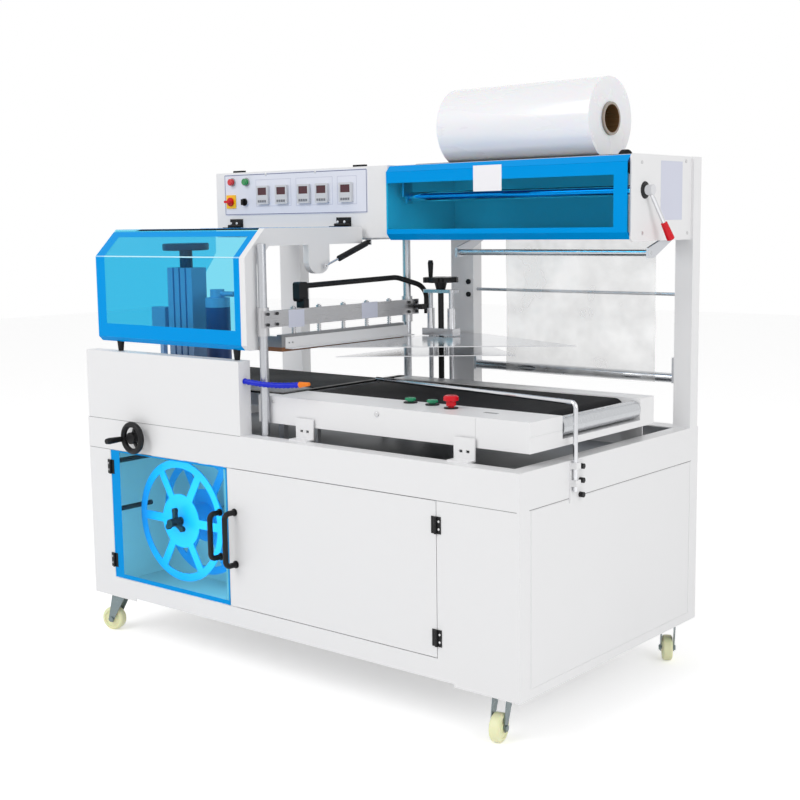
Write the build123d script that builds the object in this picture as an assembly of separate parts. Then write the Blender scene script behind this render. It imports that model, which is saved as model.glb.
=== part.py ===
"""L bar sealer: a shrink-film sealing machine on a castor cabinet.

Lengths are in millimetres. The machine is laid out with x from the cabinet's
left end, y from its front face and z from the floor, and every sub-part is
moved to the middle of its outer box when it is written.
"""
from build123d import *
import os
from math import atan2, cos, degrees, pi, radians, sin, sqrt

# Overall sizes
LENGTH = 1650.0
WIDTH = 900.0
CABINET_BOTTOM = 135.0
RIM_TOP = 703.0
HEAD_TOP = 1466.0
BELT_TOP = 812.0
CENTRE_SHIFT_X = 13.0
CENTRE_SHIFT_Y = 45.0
BOX_CENTRE_X = LENGTH / 2 + CENTRE_SHIFT_X
BOX_CENTRE_Y = WIDTH / 2 - CENTRE_SHIFT_Y

# Stock, clearances and cutting overrun
SHEET = 3.0
THIN_SHEET = 2.0
ACRYLIC = 5.0
SEAT_GAP = 0.3
RUNNING = 0.08
OVERRUN = 4.0
BOLT_R = 5.0
BOLT_HEAD_R = 8.0
BOLT_HEAD_H = 5.0
SCREW_R = 4.5
SCREW_H = 2.5


def block(x0, x1, y0, y1, z0, z1):
    """A box given by its low and high corners."""
    return Pos((x0 + x1) / 2, (y0 + y1) / 2, (z0 + z1) / 2) * Box(x1 - x0, y1 - y0, z1 - z0)


def rod_x(x0, x1, y, z, r):
    return Pos((x0 + x1) / 2, y, z) * (Rot(0, 90, 0) * Cylinder(r, x1 - x0))


def rod_y(x, y0, y1, z, r):
    return Pos(x, (y0 + y1) / 2, z) * (Rot(90, 0, 0) * Cylinder(r, y1 - y0))


def rod_z(x, y, z0, z1, r):
    return Pos(x, y, (z0 + z1) / 2) * Cylinder(r, z1 - z0)


def prism_x(x0, x1, points):
    """Points are (y, z) pairs, pushed from x0 to x1."""
    face = make_face(Polyline(*[(0, y, z) for y, z in points], close=True))
    return Pos(x0, 0, 0) * extrude(face, amount=x1 - x0, dir=(1, 0, 0))


def prism_y(y0, y1, points):
    """Points are (x, z) pairs, pushed from y0 to y1."""
    face = make_face(Polyline(*[(x, 0, z) for x, z in points], close=True))
    return Pos(0, y0, 0) * extrude(face, amount=y1 - y0, dir=(0, 1, 0))


def prism_z(z0, z1, points):
    """Points are (x, y) pairs, pushed from z0 to z1."""
    face = make_face(Polyline(*[(x, y, 0) for x, y in points], close=True))
    return Pos(0, 0, z0) * extrude(face, amount=z1 - z0, dir=(0, 0, 1))


def turned(profile, x, y, z, tilt=(0, 0, 0)):
    """Points are (radius, height) pairs, turned about a z axis and then tilted."""
    face = make_face(Polyline(*[(r, 0, h) for r, h in profile], close=True))
    return Pos(x, y, z) * (Rot(*tilt) * revolve(face, axis=Axis.Z))


def rounded(solid, axis, radius):
    """Rounds the edges that run along the axis."""
    return fillet(solid.edges().filter_by(axis), radius)


# Cabinet
DOOR_BOTTOM = 201.0
DOOR_TOP = 606.0
DOOR_GAP = 2.0
DOOR_THICK = 2.5
LEFT_DOOR_X0 = 107.0
LEFT_DOOR_X1 = 633.0
RIGHT_DOOR_MARGIN = 254.0
RIGHT_DOOR_X1 = LENGTH - RIGHT_DOOR_MARGIN
TOE_NOTCH = 8.0
TOE_NOTCH_X = 200.0
RIM_WIDTH = 46.0
RIM_REAR_WIDTH = 60.0
RIM_NOTCH_GAP = 3.0
SEAM_HEIGHT = 605.0
SEAM_LOW = 25.0
SEAM_WIDTH = 2.0
SEAM_DEPTH = 1.0
MULLION_WIDTH = 34.0
MULLION_DEPTH = 24.0
MULLION_LAP = 18.0
PARTITION_Y = 300.0
PARTITION_X = 665.0
LOWER_DECK_Z = 625.0


def front_panel():
    """Front sheet with one wide door opening, a toe notch and the crank's shaft hole."""
    panel = block(0, LENGTH, 0, SHEET, CABINET_BOTTOM, RIM_TOP)
    panel -= block(LEFT_DOOR_X0 - DOOR_GAP, RIGHT_DOOR_X1 + DOOR_GAP, -OVERRUN, SHEET + OVERRUN,
                   DOOR_BOTTOM - DOOR_GAP, DOOR_TOP + DOOR_GAP)
    panel -= block(TOE_NOTCH_X, LENGTH - TOE_NOTCH_X, -OVERRUN, SHEET + OVERRUN,
                   CABINET_BOTTOM - OVERRUN, CABINET_BOTTOM + TOE_NOTCH)
    panel -= rod_y(CRANK_X, -OVERRUN, SHEET + OVERRUN, CRANK_Z, CRANK_SHAFT_R + SEAT_GAP)
    return panel


def right_side_panel():
    """Side sheet with the two seams of its removable middle part cut as grooves."""
    x0 = LENGTH - SHEET
    panel = block(x0, LENGTH, SHEET, WIDTH - SHEET, CABINET_BOTTOM, RIM_TOP)
    for z in (SEAM_HEIGHT, CABINET_BOTTOM + SEAM_LOW):
        panel -= block(LENGTH - SEAM_DEPTH, LENGTH + OVERRUN, RIM_WIDTH, WIDTH - RIM_WIDTH,
                       z, z + SEAM_WIDTH)
    for y in (RIM_WIDTH, WIDTH - RIM_WIDTH - SEAM_WIDTH):
        panel -= block(LENGTH - SEAM_DEPTH, LENGTH + OVERRUN, y, y + SEAM_WIDTH,
                       CABINET_BOTTOM + SEAM_LOW, SEAM_HEIGHT)
    return panel


def left_side_panel():
    return block(0, SHEET, SHEET, WIDTH - SHEET, CABINET_BOTTOM, RIM_TOP)


def back_panel():
    """Rear sheet with a bank of vent slots low on the right."""
    panel = block(0, LENGTH, WIDTH - SHEET, WIDTH, CABINET_BOTTOM, RIM_TOP)
    for row in range(VENT_ROW_COUNT):
        z = VENT_Z + row * VENT_PITCH
        panel -= block(VENT_X, VENT_X + VENT_LENGTH, WIDTH - SHEET - OVERRUN, WIDTH + OVERRUN,
                       z, z + VENT_HEIGHT)
    return panel


VENT_ROW_COUNT = 6
VENT_INSET = 470.0
VENT_X = LENGTH - VENT_INSET
VENT_Z = 330.0
VENT_PITCH = 22.0
VENT_LENGTH = 220.0
VENT_HEIGHT = 8.0


def base_pan():
    """Floor of the cabinet, between the panels."""
    return block(SHEET, LENGTH - SHEET, SHEET, WIDTH - SHEET,
                 CABINET_BOTTOM + TOE_NOTCH, CABINET_BOTTOM + TOE_NOTCH + SHEET)


def rim_flange():
    """Turned-in flange round the open pit at the top of the cabinet."""
    z0 = RIM_TOP - SHEET
    flange = block(SHEET, LENGTH - SHEET, SHEET, WIDTH - SHEET, z0, RIM_TOP)
    flange -= block(RIM_WIDTH, LENGTH - RIM_WIDTH, RIM_WIDTH, WIDTH - RIM_REAR_WIDTH,
                    z0 - OVERRUN, RIM_TOP + OVERRUN)
    return flange - rod_z(*COLUMN_PLACES[0], z0 - OVERRUN, RIM_TOP + OVERRUN, COLUMN_R + RIM_NOTCH_GAP)


def door_mullion():
    """Post behind the meeting edges of the two doors, lapped behind the front sheet."""
    x = (LEFT_DOOR_X1 + DOOR_GAP / 2) - MULLION_WIDTH / 2
    return block(x, x + MULLION_WIDTH, SHEET, SHEET + MULLION_DEPTH,
                 DOOR_BOTTOM - MULLION_LAP, DOOR_TOP + MULLION_LAP)


def inner_walls():
    """Reel compartment: a rear wall that carries the reel shaft and a side wall."""
    z0 = CABINET_BOTTOM + TOE_NOTCH + SHEET
    rear = block(SHEET, PARTITION_X, PARTITION_Y, PARTITION_Y + SHEET, z0, LOWER_DECK_Z)
    rear -= rod_y(REEL_X, PARTITION_Y - OVERRUN, PARTITION_Y + SHEET + OVERRUN, REEL_Z, REEL_SHAFT_R)
    side = block(PARTITION_X, PARTITION_X + SHEET, SHEET, WIDTH - SHEET, z0, LOWER_DECK_Z)
    return [rear, side]


def lower_deck():
    """Deck in the pit that carries the conveyors, the columns and the drive."""
    deck = block(SHEET, LENGTH - SHEET, SHEET, WIDTH - SHEET, LOWER_DECK_Z, LOWER_DECK_Z + SHEET)
    for x, y in COLUMN_PLACES:
        deck -= rod_z(x, y, LOWER_DECK_Z - OVERRUN, LOWER_DECK_Z + SHEET + OVERRUN, COLUMN_R)
    return deck


# Left housing in front of the sealing area
HOUSING_X0 = 5.0
HOUSING_X1 = 695.0
HOUSING_DEPTH = 45.0
HOUSING_TOP = 915.0


def left_housing():
    """Folded channel that stands on the rim: front skin, two end folds and a top fold."""
    shell = block(HOUSING_X0, HOUSING_X1, 0, HOUSING_DEPTH, RIM_TOP, HOUSING_TOP)
    return shell - block(HOUSING_X0 + SHEET, HOUSING_X1 - SHEET, SHEET, HOUSING_DEPTH + OVERRUN,
                         RIM_TOP - OVERRUN, HOUSING_TOP - SHEET)


# Rear posts
POST_SET_IN = 6.0
POST_DEPTH = 44.0
POST_Y1 = WIDTH - POST_SET_IN
POST_Y0 = POST_Y1 - POST_DEPTH
LEFT_POST = (20.0, 119.0)
MIDDLE_POST = (796.0, 884.0)
RIGHT_POST_WIDTH = 54.0
RIGHT_POST = (LENGTH - RIGHT_POST_WIDTH, LENGTH)


def post(span):
    """Folded sheet column, closed like a box."""
    outer = block(*span, POST_Y0, POST_Y1, RIM_TOP, HEAD_TOP)
    return outer - block(span[0] + THIN_SHEET, span[1] - THIN_SHEET, POST_Y0 + THIN_SHEET,
                         POST_Y1 - THIN_SHEET, RIM_TOP - OVERRUN, HEAD_TOP - THIN_SHEET)


# Control box, left half of the head
HEAD_DEPTH = 333.0
HEAD_Y0 = POST_Y0 - HEAD_DEPTH
CONTROL_X0 = 62.0
CONTROL_X1 = 815.0
CONTROL_Z0 = 1250.0
PANEL_X0 = 103.0
PANEL_X1 = 735.0
PANEL_Z0 = 1326.0
PANEL_Z1 = 1460.0
PANEL_THICK = 1.5
PANEL_CORNER = 8.0


def control_box():
    """Closed sheet box between the left and middle posts."""
    outer = block(CONTROL_X0, CONTROL_X1, HEAD_Y0, POST_Y0, CONTROL_Z0, HEAD_TOP)
    outer = fillet(outer.edges().filter_by(Axis.X), THIN_SHEET)
    inner = block(CONTROL_X0 + THIN_SHEET, CONTROL_X1 - THIN_SHEET, HEAD_Y0 + THIN_SHEET,
                  POST_Y0 - THIN_SHEET, CONTROL_Z0 + THIN_SHEET, HEAD_TOP - THIN_SHEET)
    return outer - inner


def control_panel():
    """Printed plate on the box's front, with rounded corners."""
    plate = block(PANEL_X0, PANEL_X1, HEAD_Y0 - PANEL_THICK, HEAD_Y0, PANEL_Z0, PANEL_Z1)
    return rounded(plate, Axis.Y, PANEL_CORNER)


METER_XS = (288.0, 374.0, 472.0, 550.0, 651.0)
METER_Z = 1390.0
METER_WIDTH = 52.0
METER_HEIGHT = 60.0
METER_PROUD = 9.0
METER_EDGE = 2.5
METER_WINDOW_DEPTH = 1.5
METER_WINDOW_HEIGHT_SHARE = 0.4
METER_BORDER_SHARE = 0.12
KEY_COUNT = 4
KEY_PROUD = 1.0
KEY_SHARE = 0.14


def meter(x):
    """Square timer module: bezel, sunk display window and a row of small keys."""
    y0 = HEAD_Y0 - PANEL_THICK - METER_PROUD
    z0, z1 = METER_Z - METER_HEIGHT / 2, METER_Z + METER_HEIGHT / 2
    body = block(x - METER_WIDTH / 2, x + METER_WIDTH / 2, y0, HEAD_Y0 - PANEL_THICK, z0, z1)
    body = rounded(body, Axis.Y, METER_EDGE)
    border = METER_WIDTH * METER_BORDER_SHARE
    window_low = z1 - border - METER_HEIGHT * METER_WINDOW_HEIGHT_SHARE
    body -= block(x - METER_WIDTH / 2 + border, x + METER_WIDTH / 2 - border,
                  y0 - OVERRUN, y0 + METER_WINDOW_DEPTH, window_low, z1 - border)
    key = METER_WIDTH * KEY_SHARE
    pitch = (METER_WIDTH - 2 * border) / KEY_COUNT
    for i in range(KEY_COUNT):
        kx = x - METER_WIDTH / 2 + border + pitch * (i + 1 / 2)
        body += block(kx - key / 2, kx + key / 2, y0 - KEY_PROUD, y0, z0 + border, z0 + border + key)
    return body


LAMP_R = 11.0
LAMP_BEZEL_R = 14.0
LAMP_BEZEL_H = 3.0
LAMP_H = 12.0
RED_LAMP = (143.0, 1435.0)
GREEN_LAMP = (210.0, 1434.0)
SWITCH = (135.0, 1371.0)
SELECTOR = (202.0, 1369.0)
SWITCH_PLATE = 44.0
SWITCH_KNOB_R = 14.0
SWITCH_GRIP_WIDTH = 8.0
SWITCH_GRIP_LENGTH = 27.0
SWITCH_GRIP_H = 14.0
SELECTOR_R = 12.0
SELECTOR_H = 10.0


def panel_face():
    return HEAD_Y0 - PANEL_THICK


def panel_bezels():
    """Bezels that the lamps, the switch and the selector sit in."""
    y1 = panel_face()
    y0 = y1 - LAMP_BEZEL_H
    parts = [rod_y(x, y0, y1, z, LAMP_BEZEL_R) for x, z in (RED_LAMP, GREEN_LAMP, SELECTOR)]
    x, z = SWITCH
    half = SWITCH_PLATE / 2
    parts.append(rounded(block(x - half, x + half, y0, y1, z - half, z + half), Axis.Y, METER_EDGE))
    return parts


def lamp(place):
    x, z = place
    y1 = panel_face() - LAMP_BEZEL_H - SEAT_GAP
    lens = rod_y(x, y1 - LAMP_H, y1, z, LAMP_R)
    return fillet(lens.edges().filter_by(GeomType.CIRCLE).sort_by(Axis.Y)[0], METER_EDGE)


def main_switch():
    """Round base with a bar grip across it."""
    x, z = SWITCH
    y1 = panel_face() - LAMP_BEZEL_H - SEAT_GAP
    knob = rod_y(x, y1 - SELECTOR_H / 2, y1, z, SWITCH_KNOB_R)
    grip = block(x - SWITCH_GRIP_LENGTH / 2, x + SWITCH_GRIP_LENGTH / 2,
                 y1 - SELECTOR_H / 2 - SWITCH_GRIP_H, y1 - SELECTOR_H / 2,
                 z - SWITCH_GRIP_WIDTH / 2, z + SWITCH_GRIP_WIDTH / 2)
    return knob + rounded(grip, Axis.Y, SWITCH_GRIP_WIDTH / 3)


def selector():
    x, z = SELECTOR
    y1 = panel_face() - LAMP_BEZEL_H - SEAT_GAP
    base = rod_y(x, y1 - SELECTOR_H / 2, y1, z, SELECTOR_R)
    grip = block(x - SWITCH_GRIP_WIDTH / 2, x + SWITCH_GRIP_WIDTH / 2, y1 - SELECTOR_H - SELECTOR_H / 2,
                 y1 - SELECTOR_H / 2, z - SELECTOR_R + METER_EDGE, z + SELECTOR_R - METER_EDGE)
    return base + grip


# Film box, right half of the head
END_PLATE_SET_IN = 8.0
END_PLATE_THICK = 4.0
END_PLATE_X = LENGTH - END_PLATE_SET_IN
FILM_X0 = CONTROL_X1
FILM_X1 = END_PLATE_X - END_PLATE_THICK
FILM_Z0 = CONTROL_Z0
END_PLATE_Z0 = 1238.0
END_CORNER = 12.0
COVER_LIP = 60.0
COVER_TOP_LIP = 40.0
COVER_BEND = 18.0
COVER_HINGE_GAP = 0.3
COVER_PROUD = 8.0
COVER_Y0 = HEAD_Y0 - COVER_PROUD
END_PLATE_LAP = 8.0


def film_box_frame():
    """Roof sheet with one opening for the rollers, rear sheet and floor rail."""
    roof = block(FILM_X0, FILM_X1, HEAD_Y0 + COVER_TOP_LIP, POST_Y0, HEAD_TOP - SHEET, HEAD_TOP)
    roof -= block(FEED_X0 - ROLLER_SLOT_END, FEED_X1 + ROLLER_SLOT_END, FEED_ROLLER_YS[0] - ROLLER_SLOT / 2,
                  FEED_ROLLER_YS[1] + ROLLER_SLOT / 2, HEAD_TOP - SHEET - OVERRUN, HEAD_TOP + OVERRUN)
    rear = block(FILM_X0, FILM_X1, POST_Y0 - SHEET, POST_Y0, FILM_Z0, HEAD_TOP - SHEET)
    floor = block(FILM_X0, FILM_X1, POST_Y0 - FLOOR_DEPTH, POST_Y0 - SHEET, FILM_Z0, FILM_Z0 + SHEET)
    return [roof, rear, floor]


FLOOR_DEPTH = 120.0


def film_end_plate():
    """White plate that closes the right end and holds the lever's hub."""
    plate = block(FILM_X1, END_PLATE_X, HEAD_Y0 + SHEET, POST_Y0 + END_PLATE_LAP, END_PLATE_Z0, HEAD_TOP)
    corners = plate.edges().filter_by(Axis.X).group_by(Axis.Y)[0]
    plate = fillet(corners, END_CORNER)
    return plate - rod_x(FILM_X1 - OVERRUN, END_PLATE_X + OVERRUN, LEVER_Y, LEVER_Z, LEVER_HOLE_R)


def film_cover():
    """Blue acrylic cover bent over at its top and bottom, hinged along the top rear edge."""
    top, bottom = HEAD_TOP - SHEET - SEAT_GAP, FILM_Z0 - SHEET * 2
    outer = [(COVER_Y0, bottom + COVER_BEND), (COVER_Y0 + COVER_BEND, bottom),
             (COVER_Y0 + COVER_LIP, bottom), (COVER_Y0 + COVER_LIP, bottom + ACRYLIC),
             (COVER_Y0 + COVER_BEND + ACRYLIC / 2, bottom + ACRYLIC),
             (COVER_Y0 + ACRYLIC, bottom + COVER_BEND + ACRYLIC / 2),
             (COVER_Y0 + ACRYLIC, top - COVER_BEND - ACRYLIC / 2),
             (COVER_Y0 + COVER_BEND + ACRYLIC / 2, top - ACRYLIC),
             (HEAD_Y0 + COVER_TOP_LIP - COVER_HINGE_GAP, top - ACRYLIC),
             (HEAD_Y0 + COVER_TOP_LIP - COVER_HINGE_GAP, top),
             (COVER_Y0 + COVER_BEND, top), (COVER_Y0, top - COVER_BEND)]
    return prism_x(FILM_X0 + COVER_HINGE_GAP, FILM_X1 - COVER_HINGE_GAP, outer)


# Film roll on its two feed rollers
ROLL_R = 114.0
ROLL_SET_BACK = 158.0
ROLL_LENGTH = 517.0
ROLL_END_GAP = 153.0
ROLL_Y = HEAD_Y0 + ROLL_SET_BACK
ROLL_X1 = FILM_X1 - ROLL_END_GAP
ROLL_X0 = ROLL_X1 - ROLL_LENGTH
CORE_OUTER_R = 45.0
CORE_R = 38.0
CORE_PROUD = 6.0
FEED_ROLLER_R = 22.0
FEED_ROLLER_HALF_PITCH = 60.0
FEED_ROLLER_YS = (ROLL_Y - FEED_ROLLER_HALF_PITCH, ROLL_Y + FEED_ROLLER_HALF_PITCH)
FEED_RISE = 4.5
FEED_Z = HEAD_TOP - FEED_ROLLER_R + FEED_RISE
FEED_LEFT_INSET = 35.0
FEED_RIGHT_INSET = 48.0
FEED_X0 = FILM_X0 + FEED_LEFT_INSET
FEED_X1 = FILM_X1 - FEED_RIGHT_INSET
FEED_SHAFT_R = 7.0
FEED_JOURNAL = 20.0
ROLLER_SLOT = 76.0
STOP_RING_R = 33.0
STOP_RING_WIDTH = 18.0
STOP_RING_INSET = 12.0
ROLLER_SLOT_END = 3.0
ROLL_Z = FEED_Z + sqrt((ROLL_R + FEED_ROLLER_R + SEAT_GAP) ** 2 - FEED_ROLLER_HALF_PITCH ** 2)
BEARER_THICK = 10.0
BEARER_HALF = 26.0
BEARER_DROP = 42.0


def film_roll():
    """Wound film as a thick sleeve round the core."""
    roll = rod_x(ROLL_X0, ROLL_X1, ROLL_Y, ROLL_Z, ROLL_R)
    return roll - rod_x(ROLL_X0 - OVERRUN, ROLL_X1 + OVERRUN, ROLL_Y, ROLL_Z, CORE_OUTER_R)


def film_core():
    core = rod_x(ROLL_X0 - CORE_PROUD, ROLL_X1 + CORE_PROUD, ROLL_Y, ROLL_Z, CORE_OUTER_R)
    return core - rod_x(ROLL_X0 - CORE_PROUD - OVERRUN, ROLL_X1 + CORE_PROUD + OVERRUN,
                        ROLL_Y, ROLL_Z, CORE_R)


def feed_roller(y):
    """Rubber-faced roller with a journal at each end."""
    face = rod_x(FEED_X0, FEED_X1, y, FEED_Z, FEED_ROLLER_R)
    return face + rod_x(FEED_X0 - FEED_JOURNAL, FEED_X1 + FEED_JOURNAL, y, FEED_Z, FEED_SHAFT_R)


def front_feed_roller():
    """Front roller with the raised ring at its right end that keeps the film roll in place."""
    x1 = FEED_X1 - STOP_RING_INSET
    ring = rod_x(x1 - STOP_RING_WIDTH, x1, FEED_ROLLER_YS[0], FEED_Z, STOP_RING_R)
    ring = fillet(ring.edges().filter_by(GeomType.CIRCLE), SHEET)
    return feed_roller(FEED_ROLLER_YS[0]) + ring


def roller_bearers():
    """Bearing blocks under the roof that the feed rollers turn in."""
    parts = []
    for y in FEED_ROLLER_YS:
        for x in (FEED_X0 - FEED_JOURNAL, FEED_X1 + FEED_JOURNAL - BEARER_THICK):
            bearer = block(x, x + BEARER_THICK, y - BEARER_HALF, y + BEARER_HALF,
                           HEAD_TOP - SHEET - BEARER_DROP, HEAD_TOP - SHEET)
            parts.append(bearer - rod_x(x - OVERRUN, x + BEARER_THICK + OVERRUN, y, FEED_Z,
                                        FEED_SHAFT_R + RUNNING))
    return parts


# Feed shaft lever on the end plate
LEVER_SET_BACK = 75.0
LEVER_Y = HEAD_Y0 + LEVER_SET_BACK
LEVER_Z = 1372.0
LEVER_HOLE_R = 15.0
LEVER_SHAFT_R = 10.0
LEVER_HUB_R = 14.0
LEVER_HUB_LENGTH = 22.0
LEVER_ROD_R = 6.0
LEVER_ROD_LENGTH = 134.0
LEVER_GRIP_R = 11.0
LEVER_GRIP_LENGTH = 52.0
LEVER_TILT = 27.0
LEVER_LEAN = 11.0
LEVER_BUSH_LENGTH = 30.0


def lever_place():
    """Frame at the hub, with its own z axis along the rod, down, back and outwards."""
    return Pos(END_PLATE_X + SHEET + LEVER_HUB_LENGTH / 2, LEVER_Y, LEVER_Z) * Rot(LEVER_TILT, 0, 0) \
        * Rot(0, -LEVER_LEAN, 0)


def lever_hub():
    """Shaft through the plate, hub and thin rod."""
    x0 = END_PLATE_X + SHEET
    hub = rod_x(x0, x0 + LEVER_HUB_LENGTH, LEVER_Y, LEVER_Z, LEVER_HUB_R)
    hub += rod_x(FILM_X1 - LEVER_BUSH_LENGTH, x0, LEVER_Y, LEVER_Z, LEVER_SHAFT_R)
    return hub + lever_place() * Pos(0, 0, -LEVER_ROD_LENGTH / 2) * Cylinder(LEVER_ROD_R, LEVER_ROD_LENGTH)


def lever_grip():
    """Tapered grip pushed on the end of the rod."""
    low = LEVER_ROD_LENGTH + LEVER_GRIP_LENGTH * GRIP_SOCKET_SHARE
    grip = Cone(LEVER_GRIP_R, LEVER_GRIP_R * GRIP_TAPER_SHARE, LEVER_GRIP_LENGTH)
    grip = fillet(grip.edges().filter_by(GeomType.CIRCLE), SHEET)
    place = lever_place()
    grip = place * Pos(0, 0, -low + LEVER_GRIP_LENGTH / 2) * grip
    return grip - place * Pos(0, 0, -LEVER_ROD_LENGTH / 2) * Cylinder(LEVER_ROD_R, LEVER_ROD_LENGTH)


GRIP_SOCKET_SHARE = 0.3
GRIP_TAPER_SHARE = 0.8


def lever_bush():
    """Bush behind the plate that the lever's shaft turns in."""
    x0 = FILM_X1 - LEVER_BUSH_LENGTH
    bush = rod_x(x0, FILM_X1, LEVER_Y, LEVER_Z, LEVER_HOLE_R + SHEET)
    return bush - rod_x(x0 - OVERRUN, FILM_X1 + OVERRUN, LEVER_Y, LEVER_Z, LEVER_SHAFT_R + RUNNING)


# Guard over the sealing area, hinged along the front lower edge of the control box
GUARD_X0 = 60.0
GUARD_X1 = 700.0
FRAME_X1 = 722.0
GUARD_Y0 = 10.0
GUARD_Z0 = 945.0
GUARD_Z1 = 1205.0
GUARD_SLOPE_Y = 83.0
GUARD_SLOPE_Z = 1277.0
GUARD_TOP = 1285.0
GUARD_BACK_GAP = 13.0
GUARD_BACK_Y = HEAD_Y0 - GUARD_BACK_GAP
GUARD_FOOT = 14.0
GUARD_LEG = 46.0
GUARD_ARM = 50.0
GUARD_ARCH = 50.0
LOBE_WIDTH = 90.0
LOBE_SET_IN = 148.0
LOBE_Y1 = GUARD_BACK_Y - LOBE_SET_IN
LOBE_Y0 = LOBE_Y1 - LOBE_WIDTH
LOBE_Z = 1150.0
HINGE_STAND_OFF = 9.0
HINGE_Y = HEAD_Y0 - HINGE_STAND_OFF
HINGE_Z = 1291.0
HINGE_R = 5.0
HINGE_XS = (156.0, 636.0)
HINGE_WIDTH = 60.0
HINGE_LEAF = 28.0
HINGE_LEAF_THICK = 2.5
PIN_R = 2.5


def guard_outline():
    """Outer line of the guard's section, from the foot round to the back."""
    return [(GUARD_Y0 + GUARD_FOOT, GUARD_Z0), (GUARD_Y0, GUARD_Z0 + GUARD_FOOT), (GUARD_Y0, GUARD_Z1),
            (GUARD_SLOPE_Y, GUARD_SLOPE_Z), (GUARD_SLOPE_Y + GUARD_TOP - GUARD_SLOPE_Z, GUARD_TOP),
            (GUARD_BACK_Y, GUARD_TOP)]


def guard_inner(depth):
    """The same line moved inwards, back to the foot."""
    d = depth
    return [(GUARD_BACK_Y, GUARD_TOP - d), (GUARD_SLOPE_Y + d, GUARD_TOP - d),
            (GUARD_SLOPE_Y + d / 2, GUARD_SLOPE_Z - d / 2), (GUARD_Y0 + d, GUARD_Z1 - d / 2),
            (GUARD_Y0 + d, GUARD_Z0 + GUARD_FOOT), (GUARD_Y0 + GUARD_FOOT + d / 2, GUARD_Z0 + d)]


def guard_cover():
    """Bent acrylic sheet with a left cheek."""
    wrap = prism_x(GUARD_X0, GUARD_X1, guard_outline() + guard_inner(ACRYLIC))
    cheek = prism_x(GUARD_X0, GUARD_X0 + ACRYLIC,
                    guard_outline() + [(GUARD_BACK_Y, GUARD_CHEEK_Z), (GUARD_CHEEK_Y, GUARD_Z0)])
    return wrap + cheek


GUARD_CHEEK_Z = 1200.0
GUARD_CHEEK_DEPTH = 290.0
GUARD_CHEEK_Y = GUARD_Y0 + GUARD_CHEEK_DEPTH


def guard_side_frame():
    """White frame plate on the right: leg, arch corner, arm and the strut's lobe."""
    leg, arm = GUARD_Y0 + GUARD_LEG, GUARD_TOP - GUARD_ARM
    outline = guard_outline() + [
        (GUARD_BACK_Y, arm), (LOBE_Y1, arm), (LOBE_Y1, LOBE_Z), (LOBE_Y0, LOBE_Z), (LOBE_Y0, arm),
        (leg + GUARD_ARCH, arm), (leg, arm - GUARD_ARCH), (leg, GUARD_Z0)]
    frame = prism_x(GUARD_X1, FRAME_X1, outline)
    lobe = frame.edges().filter_by(Axis.X).group_by(Axis.Z)[0:3]
    ends = [e for group in lobe for e in group if LOBE_Y0 - OVERRUN < e.center().Y < LOBE_Y1 + OVERRUN]
    frame = fillet(ends, LOBE_ROUND)
    pocket = prism_x(GUARD_X1 - OVERRUN, FRAME_X1 - SHEET,
                     [(LOBE_Y0 + SHEET, arm + SHEET), (LOBE_Y1 - SHEET, arm + SHEET),
                      (LOBE_Y1 - SHEET, LOBE_Z + LOBE_ROUND), (LOBE_Y0 + SHEET, LOBE_Z + LOBE_ROUND)])
    return frame - pocket


LOBE_ROUND = 40.0
BUMPER_R = 11.0
BUMPER_TIP_R = 8.0
BUMPER_Y = 30.0
BUMPER_XS = (140.0, 660.0)


def guard_bumpers():
    """Rubber feet that the guard comes to rest on."""
    top, low = GUARD_Z0, HOUSING_TOP + SEAT_GAP
    profile = [(0, low), (BUMPER_TIP_R, low), (BUMPER_R, top), (0, top)]
    return [turned(profile, x, BUMPER_Y, 0) for x in BUMPER_XS]


def hinge_pair(moving):
    """Butt hinge leaves and knuckles: the box's side, or the guard's side."""
    parts = []
    for x in HINGE_XS:
        third = HINGE_WIDTH / 3
        x0, x1 = x - HINGE_WIDTH / 2, x + HINGE_WIDTH / 2
        if moving:
            leaf = block(x0, x1, HINGE_Y - HINGE_LEAF, HINGE_Y, GUARD_TOP, GUARD_TOP + HINGE_LEAF_THICK)
            keep = rod_x(x0 + third + SEAT_GAP, x1 - third - SEAT_GAP, HINGE_Y, HINGE_Z, HINGE_R)
            relief = [(x0 - OVERRUN, x0 + third + SEAT_GAP), (x1 - third - SEAT_GAP, x1 + OVERRUN)]
        else:
            leaf = block(x0, x1, HEAD_Y0 - HINGE_LEAF_THICK, HEAD_Y0, HINGE_Z - HINGE_R,
                         HINGE_Z + HINGE_LEAF - HINGE_R)
            leaf += block(x0, x1, HINGE_Y, HEAD_Y0, HINGE_Z, HINGE_Z + HINGE_R)
            keep = rod_x(x0, x1, HINGE_Y, HINGE_Z, HINGE_R)
            relief = [(x0 + third, x1 - third)]
        knuckle = keep + leaf
        for r0, r1 in relief:
            knuckle -= rod_x(r0, r1, HINGE_Y, HINGE_Z, HINGE_R + SEAT_GAP)
        bore = rod_x(x0 - OVERRUN, x1 + OVERRUN, HINGE_Y, HINGE_Z, PIN_R + (RUNNING if moving else 0))
        parts.append(knuckle - bore)
        if not moving:
            parts.append(rod_x(x0, x1, HINGE_Y, HINGE_Z, PIN_R))
    return parts


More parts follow.
